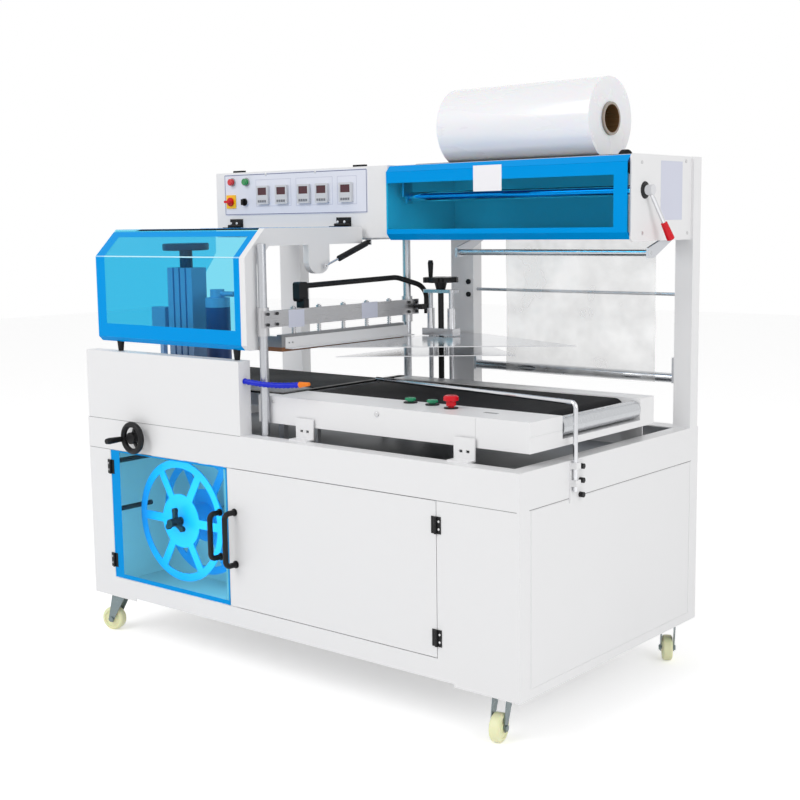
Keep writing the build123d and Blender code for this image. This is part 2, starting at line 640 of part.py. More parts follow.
# Gas strut
STRUT_TOP_SET_BACK = 1.0
STRUT_LOW_SET_IN = 33.0
STRUT_TOP = (HEAD_Y0 + STRUT_TOP_SET_BACK, 1238.0)
STRUT_LOW = (LOBE_Y1 - STRUT_LOW_SET_IN, 1172.0)
STRUT_X = 735.0
STRUT_BARREL_R = 9.0
STRUT_ROD_R = 3.5
STRUT_BARREL_LENGTH = 130.0
STRUT_EYE_R = 7.0
STRUT_EYE_THICK = 8.0
STRUT_STUD_R = 3.0
STUD_HEAD_R = 6.0
STUD_HEAD_LENGTH = 4.0
BRACKET_THICK = 5.0
BRACKET_EAR = 1.0
BRACKET_DEPTH = 115.0
BRACKET_Y1 = HEAD_Y0 + BRACKET_DEPTH
BRACKET_X0 = 700.0
BRACKET_X1 = 745.0


def strut_frame():
    """Frame at the upper pivot, with its own z axis towards the lower pivot."""
    dy, dz = STRUT_LOW[0] - STRUT_TOP[0], STRUT_LOW[1] - STRUT_TOP[1]
    return Pos(STRUT_X, STRUT_TOP[0], STRUT_TOP[1]) * Rot(degrees(atan2(-dy, dz)), 0, 0)


def strut_length():
    return sqrt((STRUT_LOW[0] - STRUT_TOP[0]) ** 2 + (STRUT_LOW[1] - STRUT_TOP[1]) ** 2)


def strut_eye():
    eye = Rot(0, 90, 0) * Cylinder(STRUT_EYE_R, STRUT_EYE_THICK)
    return eye - Rot(0, 90, 0) * Cylinder(STRUT_STUD_R + RUNNING, STRUT_EYE_THICK + OVERRUN)


def strut_barrel():
    """Black cylinder with its upper eye and a bore for the rod."""
    start = STRUT_EYE_R + 2 * SHEET
    barrel = Pos(0, 0, start + STRUT_BARREL_LENGTH / 2) * Cylinder(STRUT_BARREL_R, STRUT_BARREL_LENGTH)
    barrel -= Pos(0, 0, start + STRUT_BARREL_LENGTH / 2 + STRUT_EYE_R) \
        * Cylinder(STRUT_ROD_R + RUNNING, STRUT_BARREL_LENGTH)
    neck = Pos(0, 0, (start + STRUT_EYE_R - SHEET) / 2 + SHEET / 2) * Cylinder(STRUT_ROD_R, start - STRUT_EYE_R + SHEET)
    return strut_frame() * (barrel + neck + strut_eye())


def strut_rod():
    """Chrome rod that ends in the lower eye, beside the guard's lobe."""
    start = STRUT_EYE_R + 2 * SHEET + STRUT_BARREL_LENGTH - STRUT_ROD_ENGAGED
    end = strut_length() - STRUT_EYE_R + SHEET / 2
    rod = Pos(0, 0, (start + end) / 2) * Cylinder(STRUT_ROD_R, end - start)
    return strut_frame() * (rod + Pos(0, 0, strut_length()) * strut_eye())


STRUT_ROD_ENGAGED = 100.0


def strut_bracket():
    """Steel plate under the head with the upper stud."""
    plate = block(BRACKET_X0, BRACKET_X1, HEAD_Y0, BRACKET_Y1, CONTROL_Z0 - BRACKET_THICK, CONTROL_Z0)
    x1 = STRUT_X - STRUT_EYE_THICK / 2 - SEAT_GAP
    ear = block(x1 - BRACKET_THICK, x1, STRUT_TOP[0] - STRUT_STUD_R - BRACKET_EAR, STRUT_TOP[0] + 2 * STRUT_BARREL_R,
                STRUT_TOP[1] - STRUT_BARREL_R, CONTROL_Z0 - BRACKET_THICK)
    stud = rod_x(x1 - SHEET, STRUT_X + STRUT_EYE_THICK / 2 + STUD_HEAD_LENGTH, *STRUT_TOP, STRUT_STUD_R)
    return plate + ear + stud


# Columns and sealing head
COLUMN_R = 12.5
COLUMN_X = 742.0
COLUMN_FRONT_Y = 56.0
COLUMN_REAR_SET_IN = 160.0
COLUMN_REAR_Y = POST_Y0 - COLUMN_REAR_SET_IN
COLUMN_TOP = 1242.0
COLUMN_PLACES = ((COLUMN_X, COLUMN_FRONT_Y), (COLUMN_X, COLUMN_REAR_Y))
COLUMN_BASE_R = 26.0
COLUMN_BASE_H = 18.0
HEAD_STROKE = 118.0
BEAM_X0 = 757.0
BEAM_THICK = 8.0
BEAM_Y0 = 37.0
BEAM_REAR_LAP = 30.0
BEAM_Y1 = COLUMN_REAR_Y + BEAM_REAR_LAP
BEAM_Z0 = 1009.0
BEAM_Z1 = 1056.0
SLEEVE_R = 17.0
SLEEVE_Z0 = 985.0
SLEEVE_Z1 = 1065.0
SLEEVE_PAD = 15.5
BEAM_BOLT_INSET = 14.0
BEAM_BOLT_PITCH = 36.0
BEAM_BOLT_RISE = 30.0
BAR_X0 = 733.0
BAR_X1 = 752.0
BAR_Y0 = 117.0
BAR_REAR_SET_IN = 30.0
BAR_Y1 = COLUMN_REAR_Y - BAR_REAR_SET_IN
BAR_Z0 = 936.0
BAR_Z1 = 984.0
SEAL_FACE_H = 12.0
SPRING_COUNT = 5
SPRING_BOLT_R = 4.0
SPRING_R = 8.0
SPRING_WIRE_R = 1.5
SPRING_TURN_COUNT = 5
SPRING_INSET = 60.0
SPRING_NUT_R = 8.0
SPRING_NUT_H = 7.0
CLAMP_FOOT = 30.0
CHANNEL_LAP = 16.0
CHANNEL_Y1 = BAR_Y1 + CHANNEL_LAP
CHANNEL_Z0 = 944.0
CHANNEL_Z1 = 976.0
CHANNEL_HOLE_R = 3.0
CHANNEL_HOLE_PITCH = 14.0
CHANNEL_HOLE_INSET = 14.0


def columns():
    """Two ground guide rods standing in flanged bases on the deck."""
    parts = []
    for x, y in COLUMN_PLACES:
        parts.append(rod_z(x, y, LOWER_DECK_Z, COLUMN_TOP, COLUMN_R))
        base = rod_z(x, y, LOWER_DECK_Z + SHEET, LOWER_DECK_Z + SHEET + COLUMN_BASE_H, COLUMN_BASE_R)
        parts.append(base - rod_z(x, y, LOWER_DECK_Z, COLUMN_TOP, COLUMN_R))
    return parts


def seal_beam():
    """Steel cross beam on edge with a bored guide sleeve at each end."""
    beam = block(BEAM_X0, BEAM_X0 + BEAM_THICK, BEAM_Y0, BEAM_Y1, BEAM_Z0, BEAM_Z1)
    for x, y in COLUMN_PLACES:
        sleeve = rod_z(x, y, SLEEVE_Z0, SLEEVE_Z1, SLEEVE_R)
        sleeve += block(x, BEAM_X0, y - SLEEVE_PAD, y + SLEEVE_PAD, BEAM_Z0, BEAM_Z1)
        beam += sleeve - rod_z(x, y, SLEEVE_Z0 - OVERRUN, SLEEVE_Z1 + OVERRUN, COLUMN_R + RUNNING)
    return beam


def beam_bolts():
    """Black cap screws in fours at both ends of the beam."""
    x0 = BEAM_X0 + BEAM_THICK
    z0 = BEAM_Z0 + (BEAM_Z1 - BEAM_Z0 - BEAM_BOLT_RISE) / 2
    starts = (BEAM_Y0 + BEAM_BOLT_INSET, BEAM_Y1 - BEAM_BOLT_INSET - BEAM_BOLT_PITCH)
    return [rod_x(x0, x0 + SCREW_H * 2, y + dy, z0 + dz, SCREW_R)
            for y in starts for dy in (0, BEAM_BOLT_PITCH) for dz in (0, BEAM_BOLT_RISE)]


def spring_places():
    pitch = (BAR_Y1 - BAR_Y0 - 2 * SPRING_INSET) / (SPRING_COUNT - 1)
    return [BAR_Y0 + SPRING_INSET + i * pitch for i in range(SPRING_COUNT)]


def seal_bar():
    """Aluminium jaw that carries the sealing face, with the long leg of the L at its front end."""
    cross = block(BAR_X0, BAR_X1, BAR_Y0, BAR_Y1, BAR_Z0 + SEAL_FACE_H, BAR_Z1)
    long_leg = block(LEG_X0, BAR_X0, BAR_Y0, BAR_Y0 + BAR_X1 - BAR_X0, BAR_Z0 + SEAL_FACE_H, LEG_TOP)
    return cross + long_leg


LEG_X0 = 150.0
LEG_TOP = 978.0


def seal_face():
    """Brown fibre sealing strip along the underside of both legs."""
    width = BAR_X1 - BAR_X0
    cross = block(BAR_X0, BAR_X1, BAR_Y0, BAR_Y1, BAR_Z0, BAR_Z0 + SEAL_FACE_H)
    return cross + block(LEG_X0, BAR_X0, BAR_Y0, BAR_Y0 + width, BAR_Z0, BAR_Z0 + SEAL_FACE_H)


def seal_springs():
    """Hanger bolts from lugs on the beam to the jaw, each with a coil-shaped sleeve."""
    x = (BAR_X0 + BAR_X1) / 2
    parts = []
    for y in spring_places():
        lug = block(x - SPRING_R, BEAM_X0, y - SPRING_R, y + SPRING_R, BEAM_Z0 + BEAM_THICK, BEAM_Z1 - BEAM_THICK)
        bolt = rod_z(x, y, BAR_Z1, BEAM_Z1 + SPRING_NUT_H, SPRING_BOLT_R)
        nut = rod_z(x, y, BEAM_Z1 - BEAM_THICK, BEAM_Z1 + SPRING_NUT_H / 2, SPRING_NUT_R)
        spring = lug + bolt + nut
        pitch = (BEAM_Z0 + BEAM_THICK - BAR_Z1) / SPRING_TURN_COUNT
        for i in range(SPRING_TURN_COUNT):
            z = BAR_Z1 + pitch * (i + 1 / 2)
            spring += rod_z(x, y, z - SPRING_WIRE_R, z + SPRING_WIRE_R, SPRING_R - SPRING_WIRE_R)
        parts.append(spring)
    return parts


def film_channel():
    """White perforated channel bolted along the jaw's outer side."""
    plate = block(BAR_X1, BAR_X1 + SHEET, BAR_Y0 + CHANNEL_HOLE_INSET, CHANNEL_Y1, CHANNEL_Z0, CHANNEL_Z1)
    foot = block(BAR_X1 + SHEET, BAR_X1 + CLAMP_FOOT, BAR_Y0 + CHANNEL_HOLE_INSET, CHANNEL_Y1,
                 CHANNEL_Z0, CHANNEL_Z0 + SHEET)
    channel = plate + foot
    for i in range(2):
        y = BAR_Y0 + 2 * CHANNEL_HOLE_INSET + i * CHANNEL_HOLE_PITCH
        channel -= rod_x(BAR_X1 - OVERRUN, BAR_X1 + SHEET + OVERRUN, y, (CHANNEL_Z0 + CHANNEL_Z1) / 2,
                         CHANNEL_HOLE_R)
    return channel


# Lower jaw under the sealing head
JAW_TOP = BAR_Z0 - HEAD_STROKE - SEAT_GAP * 4
JAW_HEIGHT = 34.0
JAW_PAD = 6.0


def lower_jaw():
    """Fixed L-shaped anvil with a rubber pad in its top, on legs from the deck."""
    width = BAR_X1 - BAR_X0
    z1 = JAW_TOP - JAW_PAD
    anvil = block(BAR_X0, BAR_X1, BAR_Y0, BAR_Y1, z1 - JAW_HEIGHT, z1)
    anvil += block(LEG_X0, BAR_X0, BAR_Y0, BAR_Y0 + width, z1 - JAW_HEIGHT, z1)
    for x, y in ((LEG_X0, BAR_Y0), (BAR_X0, BAR_Y0), (BAR_X0, BAR_Y1 - width)):
        anvil += block(x, x + width, y, y + width, LOWER_DECK_Z + SHEET, z1 - JAW_HEIGHT)
    return anvil


def jaw_pad():
    width = BAR_X1 - BAR_X0
    z0 = JAW_TOP - JAW_PAD
    cross = block(BAR_X0, BAR_X1, BAR_Y0, BAR_Y1, z0, JAW_TOP)
    return cross + block(LEG_X0, BAR_X0, BAR_Y0, BAR_Y0 + width, z0, JAW_TOP)


# Drive unit seen through the guard
DRIVE_X0 = 176.0
DRIVE_X1 = 290.0
DRIVE_Y0 = 195.0
DRIVE_Y1 = 255.0
DRIVE_TOP = 1165.0
DRIVE_GROOVE = 8.0
DRIVE_GROOVE_DEPTH = 6.0
DRIVE_GROOVE_COUNT = 3
DISC_R = 72.0
DISC_Z0 = 1216.0
DISC_THICK = 22.0
DISC_HUB_R = 20.0
MOTOR_R = 38.0
MOTOR_X = 372.0
MOTOR_TOP = 1100.0
MOTOR_CAP_R = 22.0
MOTOR_CAP_H = 26.0
SENSOR_X0 = 92.0
SENSOR_X1 = 158.0
SENSOR_TOP = 1040.0
SENSOR_DEPTH = 36.0
DRIVE_BASE_Z = 960.0


def drive_column():
    """Grooved aluminium slide column on the deck."""
    column = block(DRIVE_X0, DRIVE_X1, DRIVE_Y0, DRIVE_Y1, LOWER_DECK_Z + SHEET, DRIVE_TOP)
    pitch = (DRIVE_X1 - DRIVE_X0) / (DRIVE_GROOVE_COUNT + 1)
    for i in range(DRIVE_GROOVE_COUNT):
        x = DRIVE_X0 + pitch * (i + 1)
        column -= block(x - DRIVE_GROOVE / 2, x + DRIVE_GROOVE / 2, DRIVE_Y0 - OVERRUN,
                        DRIVE_Y0 + DRIVE_GROOVE_DEPTH, LOWER_DECK_Z - OVERRUN, DRIVE_TOP + OVERRUN)
    return column


def drive_disc():
    """Handwheel-like disc on a hub above the column."""
    x, y = (DRIVE_X0 + DRIVE_X1) / 2, (DRIVE_Y0 + DRIVE_Y1) / 2
    profile = [(0, DRIVE_TOP + SEAT_GAP), (DISC_HUB_R, DRIVE_TOP + SEAT_GAP), (DISC_HUB_R, DISC_Z0),
               (DISC_R - SHEET, DISC_Z0), (DISC_R, DISC_Z0 + SHEET), (DISC_R, DISC_Z0 + DISC_THICK - SHEET),
               (DISC_R - SHEET, DISC_Z0 + DISC_THICK), (0, DISC_Z0 + DISC_THICK)]
    return turned(profile, x, y, 0)


def drive_motor():
    """Upright geared motor beside the column, with its terminal cap and side fitting."""
    y = (DRIVE_Y0 + DRIVE_Y1) / 2
    profile = [(0, LOWER_DECK_Z + SHEET), (MOTOR_R, LOWER_DECK_Z + SHEET), (MOTOR_R, MOTOR_TOP - MOTOR_CAP_H),
               (MOTOR_CAP_R, MOTOR_TOP - MOTOR_CAP_H + SHEET), (MOTOR_CAP_R, MOTOR_TOP), (0, MOTOR_TOP)]
    motor = turned(profile, MOTOR_X, y, 0)
    return motor + rod_x(MOTOR_X, MOTOR_X + MOTOR_R * 2, y, MOTOR_TOP - MOTOR_CAP_H / 2, BOLT_HEAD_R)


def sensor_box():
    """Small terminal box on a post to the column's left."""
    box = rounded(block(SENSOR_X0, SENSOR_X1, DRIVE_Y0, DRIVE_Y0 + SENSOR_DEPTH, DRIVE_BASE_Z, SENSOR_TOP),
                  Axis.Z, SHEET)
    x = (SENSOR_X0 + SENSOR_X1) / 2
    return box + block(x - BOLT_HEAD_R, x + BOLT_HEAD_R, DRIVE_Y0 + SENSOR_DEPTH / 2 - BOLT_HEAD_R,
                       DRIVE_Y0 + SENSOR_DEPTH / 2 + BOLT_HEAD_R, LOWER_DECK_Z + SHEET, DRIVE_BASE_Z)


# Conveyors
CONV_X0 = 762.0
CONV_END_INSET = 18.0
CONV_X1 = LENGTH - CONV_END_INSET
FRONT_BOX_X0 = 700.0
FRONT_BOX_Y0 = 70.0
FRONT_BOX_Y1 = 213.0
REAR_SPACE = 178.0
REAR_BOX_WIDTH = 75.0
REAR_BOX_Y1 = POST_Y0 - REAR_SPACE
REAR_BOX_Y0 = REAR_BOX_Y1 - REAR_BOX_WIDTH
CONV_Z0 = 738.0
CONV_TOP = 815.0
BELT_SIDE_GAP = 3.0
BELT_Y0 = FRONT_BOX_Y1 + BELT_SIDE_GAP
BELT_Y1 = REAR_BOX_Y0 - BELT_SIDE_GAP
BELT_THICK = 3.0
ROLLER_R = 24.0
ROLLER_JOURNAL_R = 8.0
ROLLER_SIDE_GAP = 1.0
OUT_X0 = 60.0
OUT_X1 = 722.0
OUT_Y0 = 290.0
OUT_Y1 = BELT_Y1
SEAM_INSET = 164.0
FRONT_SEAM_X = CONV_X1 - SEAM_INSET


def conveyor_front_box():
    """Long closed box along the belt's front, with the control buttons' holes in its top."""
    box = block(FRONT_BOX_X0, CONV_X1, FRONT_BOX_Y0, FRONT_BOX_Y1, CONV_Z0, CONV_TOP)
    box -= block(FRONT_SEAM_X, FRONT_SEAM_X + SEAM_WIDTH, FRONT_BOX_Y0 - OVERRUN,
                 FRONT_BOX_Y0 + SEAM_DEPTH, CONV_Z0 - OVERRUN, CONV_TOP + OVERRUN)
    box -= block(CONV_X1 - SEAM_DEPTH, CONV_X1 + OVERRUN, FRONT_BOX_Y0 - OVERRUN, FRONT_BOX_Y1 + OVERRUN,
                 BOX_STEP_Z, BOX_STEP_Z + SEAM_WIDTH)
    box -= block(FRONT_BOX_X0 - OVERRUN, BAR_X1 + JAW_CLEAR, BAR_Y0 - JAW_CLEAR, FRONT_BOX_Y1 + OVERRUN,
                 CONV_Z0 - OVERRUN, CONV_TOP + OVERRUN)
    for x in ROLLER_XS:
        box -= rod_y(x, FRONT_BOX_Y1 - JOURNAL_LENGTH - OVERRUN, BELT_Y0, ROLLER_Z,
                     ROLLER_JOURNAL_R + RUNNING)
    for x in BUTTON_XS:
        box -= rod_z(x, BUTTON_Y, CONV_TOP - BUTTON_HOLE, CONV_TOP + OVERRUN, BUTTON_STEM_R + RUNNING)
    box -= rod_z(STOP_X, STOP_Y, CONV_TOP - BUTTON_HOLE, CONV_TOP + OVERRUN, BUTTON_STEM_R + RUNNING)
    return box


BOX_STEP_Z = 778.0
JAW_CLEAR = 5.0
JOURNAL_LENGTH = 24.0
ROLLER_Z = BELT_TOP - BELT_THICK - ROLLER_R
END_ROLLER_PROUD = 4.0
END_ROLLER_X = CONV_X1 - ROLLER_R + END_ROLLER_PROUD
HEAD_ROLLER_X = CONV_X0 + ROLLER_R + BELT_THICK
END_NOSE = 9.0
TAIL_ROLLER_X = END_ROLLER_X - 2 * ROLLER_R - END_NOSE
ROLLER_XS = (HEAD_ROLLER_X, TAIL_ROLLER_X, END_ROLLER_X)


def conveyor_rear_box():
    """Box along the belt's rear edge."""
    box = block(CONV_X0, CONV_X1, REAR_BOX_Y0, REAR_BOX_Y1, CONV_Z0, CONV_TOP)
    for x in ROLLER_XS:
        box -= rod_y(x, BELT_Y1, REAR_BOX_Y0 + JOURNAL_LENGTH + OVERRUN, ROLLER_Z, ROLLER_JOURNAL_R + RUNNING)
    return box


def conveyor_channel():
    """Cross channel below the end roller and a slider bed that the belt runs on."""
    end = block(CONV_X1 - END_CHANNEL_WIDTH, CONV_X1, FRONT_BOX_Y1, REAR_BOX_Y0, CONV_Z0, END_CHANNEL_TOP)
    bed = block(HEAD_ROLLER_X + ROLLER_R + BED_INSET, TAIL_ROLLER_X - ROLLER_R - BED_INSET, FRONT_BOX_Y1, REAR_BOX_Y0,
                BELT_TOP - BELT_THICK - SEAT_GAP - BED_THICK, BELT_TOP - BELT_THICK - SEAT_GAP)
    return [end, bed]


END_CHANNEL_WIDTH = 40.0
END_CHANNEL_TOP = 756.0
BED_INSET = 6.0
BED_THICK = 4.0


def conveyor_roller(x, y0, y1):
    """Turned roller with a journal at each end."""
    face = rod_y(x, y0, y1, ROLLER_Z, ROLLER_R)
    return face + rod_y(x, y0 - JOURNAL_LENGTH, y1 + JOURNAL_LENGTH, ROLLER_Z, ROLLER_JOURNAL_R)


def belt_loop(x0, x1, y0, y1, open_gap):
    """Flat belt round two rollers whose centres are at x0 and x1."""
    inner = ROLLER_R + open_gap
    outer = ROLLER_R + BELT_THICK

    def slab(radius):
        solid = block(x0, x1, y0, y1, ROLLER_Z - radius, ROLLER_Z + radius)
        return solid + rod_y(x0, y0, y1, ROLLER_Z, radius) + rod_y(x1, y0, y1, ROLLER_Z, radius)
    return slab(outer) - lengthened(slab(inner), y0, y1)


def lengthened(solid, y0, y1):
    """The inner loop, lengthened past both edges of the belt."""
    return solid + Pos(0, -OVERRUN, 0) * solid + Pos(0, OVERRUN, 0) * solid


BELT_LOOP_GAP = 0.2


def infeed_belt():
    """Belt under the package path; the end roller beyond it stays bare."""
    return belt_loop(HEAD_ROLLER_X, TAIL_ROLLER_X, BELT_Y0, BELT_Y1, BELT_LOOP_GAP)


OUT_ROLLER_XS = (OUT_X0 + ROLLER_R + BELT_THICK, OUT_X1 - ROLLER_R - BELT_THICK)
OUT_RAIL = 12.0


def outfeed_belt():
    return belt_loop(*OUT_ROLLER_XS, OUT_Y0 + OUT_RAIL + ROLLER_SIDE_GAP,
                     OUT_Y1 - ROLLER_SIDE_GAP, BELT_LOOP_GAP)


def outfeed_frame():
    """Side rails of the discharge conveyor, on legs from the deck."""
    parts = []
    for y in (OUT_Y0, OUT_Y1):
        rail = block(OUT_X0, OUT_X1, y, y + OUT_RAIL, CONV_Z0, BELT_TOP - BELT_THICK)
        for x in OUT_ROLLER_XS:
            rail -= rod_y(x, y - OVERRUN, y + OUT_RAIL + OVERRUN, ROLLER_Z, ROLLER_JOURNAL_R + RUNNING)
        for x in (OUT_X0, OUT_X1 - OUT_RAIL):
            rail += block(x, x + OUT_RAIL, y, y + OUT_RAIL, LOWER_DECK_Z + SHEET, CONV_Z0)
        parts.append(rail)
    return parts


FOOT_LEFT_INSET = 92.0
FOOT_RIGHT_INSET = 226.0
FOOT_XS = (CONV_X0 + FOOT_LEFT_INSET, CONV_X1 - FOOT_RIGHT_INSET)
FOOT_WIDTH = 66.0
FOOT_Y = 62.0
FOOT_THICK = 4.0
FOOT_TOE = 26.0
FOOT_SLOT_R = 3.5
FOOT_SLOT_LENGTH = 22.0
FOOT_SLOT_RISE = 24.0
REAR_FOOT_INSET = 102.0
REAR_FOOT_X = CONV_X1 - REAR_FOOT_INSET


def foot_brackets():
    """Angle brackets with adjusting slots that seat the conveyor on the rim and a rear cross rail."""
    parts = []
    rim_front = RIM_WIDTH - FOOT_TOE / 2
    for x in FOOT_XS:
        upright = block(x, x + FOOT_WIDTH, FOOT_Y, FOOT_Y + FOOT_THICK, RIM_TOP, CONV_Z0 + FOOT_SLOT_RISE)
        for i in (1, 2):
            sx = x + FOOT_WIDTH * i / 3
            upright -= block(sx - FOOT_SLOT_LENGTH / 4, sx + FOOT_SLOT_LENGTH / 4, FOOT_Y - OVERRUN,
                             FOOT_Y + FOOT_THICK + OVERRUN, RIM_TOP + FOOT_SLOT_RISE - FOOT_SLOT_R,
                             RIM_TOP + FOOT_SLOT_RISE + FOOT_SLOT_R)
        toe = block(x, x + FOOT_WIDTH, rim_front, FOOT_Y, RIM_TOP, RIM_TOP + FOOT_THICK)
        parts.append(upright + toe)
    for x in (FOOT_XS[0], REAR_FOOT_X):
        leg = block(x, x + FOOT_WIDTH, REAR_BOX_Y1, REAR_BOX_Y1 + FOOT_THICK, LOWER_DECK_Z + SHEET,
                    CONV_Z0 + FOOT_SLOT_RISE)
        parts.append(leg)
    return parts


# Buttons on the conveyor's front box
BUTTON_INSETS = (463.0, 388.0)
STOP_INSET = 307.0
BUTTON_XS = tuple(CONV_X1 - inset for inset in BUTTON_INSETS)
BUTTON_Y = 182.0
STOP_X = CONV_X1 - STOP_INSET
STOP_Y = 158.0
BUTTON_R = 15.0
BUTTON_H = 7.0
BUTTON_STEM_R = 8.0
BUTTON_HOLE = 30.0
BUTTON_STEM_DEPTH = 20.0
BUTTON_TRAVEL = 4.0
BEZEL_R = 19.0
BEZEL_H = 3.0
STOP_R = 20.0
STOP_NECK_R = 13.0
STOP_RISE = 12.0
STOP_HEAD_H = 15.0
STOP_CROWN = 4.0


def button_bezels():
    parts = []
    for x, y in [(x, BUTTON_Y) for x in BUTTON_XS] + [(STOP_X, STOP_Y)]:
        ring = rod_z(x, y, CONV_TOP, CONV_TOP + BEZEL_H, BEZEL_R)
        parts.append(ring - rod_z(x, y, CONV_TOP - OVERRUN, CONV_TOP + BEZEL_H + OVERRUN,
                                  BUTTON_STEM_R + RUNNING))
    return parts


def green_button(x):
    """Cap above the bezel on a stem that slides in the box."""
    low = CONV_TOP + BEZEL_H + BUTTON_TRAVEL + SEAT_GAP
    cap = rod_z(x, BUTTON_Y, low, low + BUTTON_H, BUTTON_R)
    cap = fillet(cap.edges().filter_by(GeomType.CIRCLE).sort_by(Axis.Z)[-1], METER_EDGE)
    return cap + rod_z(x, BUTTON_Y, CONV_TOP - BUTTON_STEM_DEPTH, low, BUTTON_STEM_R)


def stop_button():
    """Mushroom head on a neck and stem."""
    low = CONV_TOP + BEZEL_H + BUTTON_TRAVEL + SEAT_GAP
    neck = low + STOP_RISE
    profile = [(0, CONV_TOP - BUTTON_STEM_DEPTH), (BUTTON_STEM_R, CONV_TOP - BUTTON_STEM_DEPTH),
               (BUTTON_STEM_R, low), (STOP_NECK_R, low), (STOP_NECK_R, neck), (STOP_R, neck + STOP_CROWN / 2),
               (STOP_R, neck + STOP_HEAD_H - STOP_CROWN), (STOP_R - STOP_CROWN, neck + STOP_HEAD_H),
               (0, neck + STOP_HEAD_H)]
    return turned(profile, STOP_X, STOP_Y, 0)


# Film guide rod over the belt, clamped on the right end of the rim
GUIDE_R = 6.0
GUIDE_Y0 = 339.0
GUIDE_REACH = 745.0
GUIDE_STAND_OFF = 10.0
GUIDE_X1 = LENGTH + GUIDE_STAND_OFF
GUIDE_X0 = GUIDE_X1 - GUIDE_REACH
GUIDE_Y1 = 228.0
GUIDE_Z = 848.0
GUIDE_LOW = 625.0
GUIDE_BEND = 14.0
BRACKET_PLATE_Y0 = 216.0
BRACKET_PLATE_Y1 = 275.0
BRACKET_PLATE_Z0 = 596.0
BRACKET_PLATE_Z1 = 698.0
BRACKET_PLATE_THICK = 3.0
CLAMP_BLOCK = 20.0
CLAMP_BLOCK_H = 16.0
CLAMP_LOW_RISE = 41.6
KNOB_R = 7.0
KNOB_LENGTH = 12.0
KNOB_RISES = (15.0, 52.0, 88.0)


def guide_rod():
    """One round bar bent down at its right end."""
    corner = (GUIDE_X1, GUIDE_Y1, GUIDE_Z)
    path = FilletPolyline((GUIDE_X0, GUIDE_Y0, GUIDE_Z), corner, (GUIDE_X1, GUIDE_Y1, GUIDE_LOW),
                          radius=GUIDE_BEND)
    start = Plane(origin=path @ 0, z_dir=path % 0)
    return sweep(start * Circle(GUIDE_R), path=path)


def guide_bracket():
    """White clamp plate on the side with two bored blocks for the rod."""
    x0 = LENGTH
    plate = block(x0, x0 + BRACKET_PLATE_THICK, BRACKET_PLATE_Y0, BRACKET_PLATE_Y1,
                  BRACKET_PLATE_Z0, BRACKET_PLATE_Z1)
    for z in (BRACKET_PLATE_Z0 + CLAMP_LOW_RISE, BRACKET_PLATE_Z1 - CLAMP_BLOCK_H):
        lug = block(x0 + BRACKET_PLATE_THICK, GUIDE_X1 + CLAMP_BLOCK / 2, GUIDE_Y1 - CLAMP_BLOCK / 2,
                    GUIDE_Y1 + CLAMP_BLOCK / 2, z, z + CLAMP_BLOCK_H)
        plate += lug
    hole = rod_z(GUIDE_X1, GUIDE_Y1, BRACKET_PLATE_Z0 - OVERRUN, BRACKET_PLATE_Z1 + OVERRUN, GUIDE_R + RUNNING)
    return plate - hole


def guide_knobs():
    """Black thumb screws through the bracket's rear edge."""
    parts = []
    for rise in KNOB_RISES:
        z = BRACKET_PLATE_Z0 + rise
        x0 = LENGTH + BRACKET_PLATE_THICK
        parts.append(rod_x(x0, x0 + KNOB_LENGTH, BRACKET_PLATE_Y1 - KNOB_R * 2, z, KNOB_R))
    return parts


# Lift for the film separating plates
LIFT_XS = (826.0, 906.0)
LIFT_GAP = 13.0
LIFT_RAIL_WIDTH = 40.0
LIFT_RAIL_Y0 = REAR_BOX_Y1 + LIFT_GAP
LIFT_RAIL_Y1 = LIFT_RAIL_Y0 + LIFT_RAIL_WIDTH
LIFT_Y = (LIFT_RAIL_Y0 + LIFT_RAIL_Y1) / 2
LIFT_ROD_R = 7.0
LIFT_SCREW_R = 9.0
LIFT_TOP = 1078.0
LIFT_CAP_H = 10.0
LIFT_CAP_MARGIN = 20.0
LIFT_CAP_DEPTH = 40.0
LIFT_SLEEVE_R = 12.0
LIFT_SLEEVE_TOP = 1030.0
CARRIAGE_Z0 = 946.0
CARRIAGE_Z1 = 968.0
PLATE_THICK = 2.5
UPPER_PLATE_Z = 941.0
LOWER_PLATE_Z = 908.0
PLATE_TIP = (800.0, 215.0)
PLATE_RIGHT = (1395.0, 648.0)
PLATE_REAR_GAP = 10.0
PLATE_REAR_Y = POST_Y0 - PLATE_REAR_GAP
PLATE_HOLE_GAP = 0.5
PLATE_REAR_X = 940.0
LOWER_TIP = (800.0, 290.0)
LOWER_RIGHT = (1215.0, 610.0)
WHEEL_Z = 1118.0
WHEEL_R = 55.0
WHEEL_THICK = 16.0
WHEEL_HUB_R = 20.0
WHEEL_GRIP_R = 9.0
WHEEL_GRIP_H = 52.0
WHEEL_GRIP_SHARE = 0.72
WHEEL_LOBE_COUNT = 7
WHEEL_LOBE_R = 9.0


def lift_screw_x():
    return (LIFT_XS[0] + LIFT_XS[1]) / 2


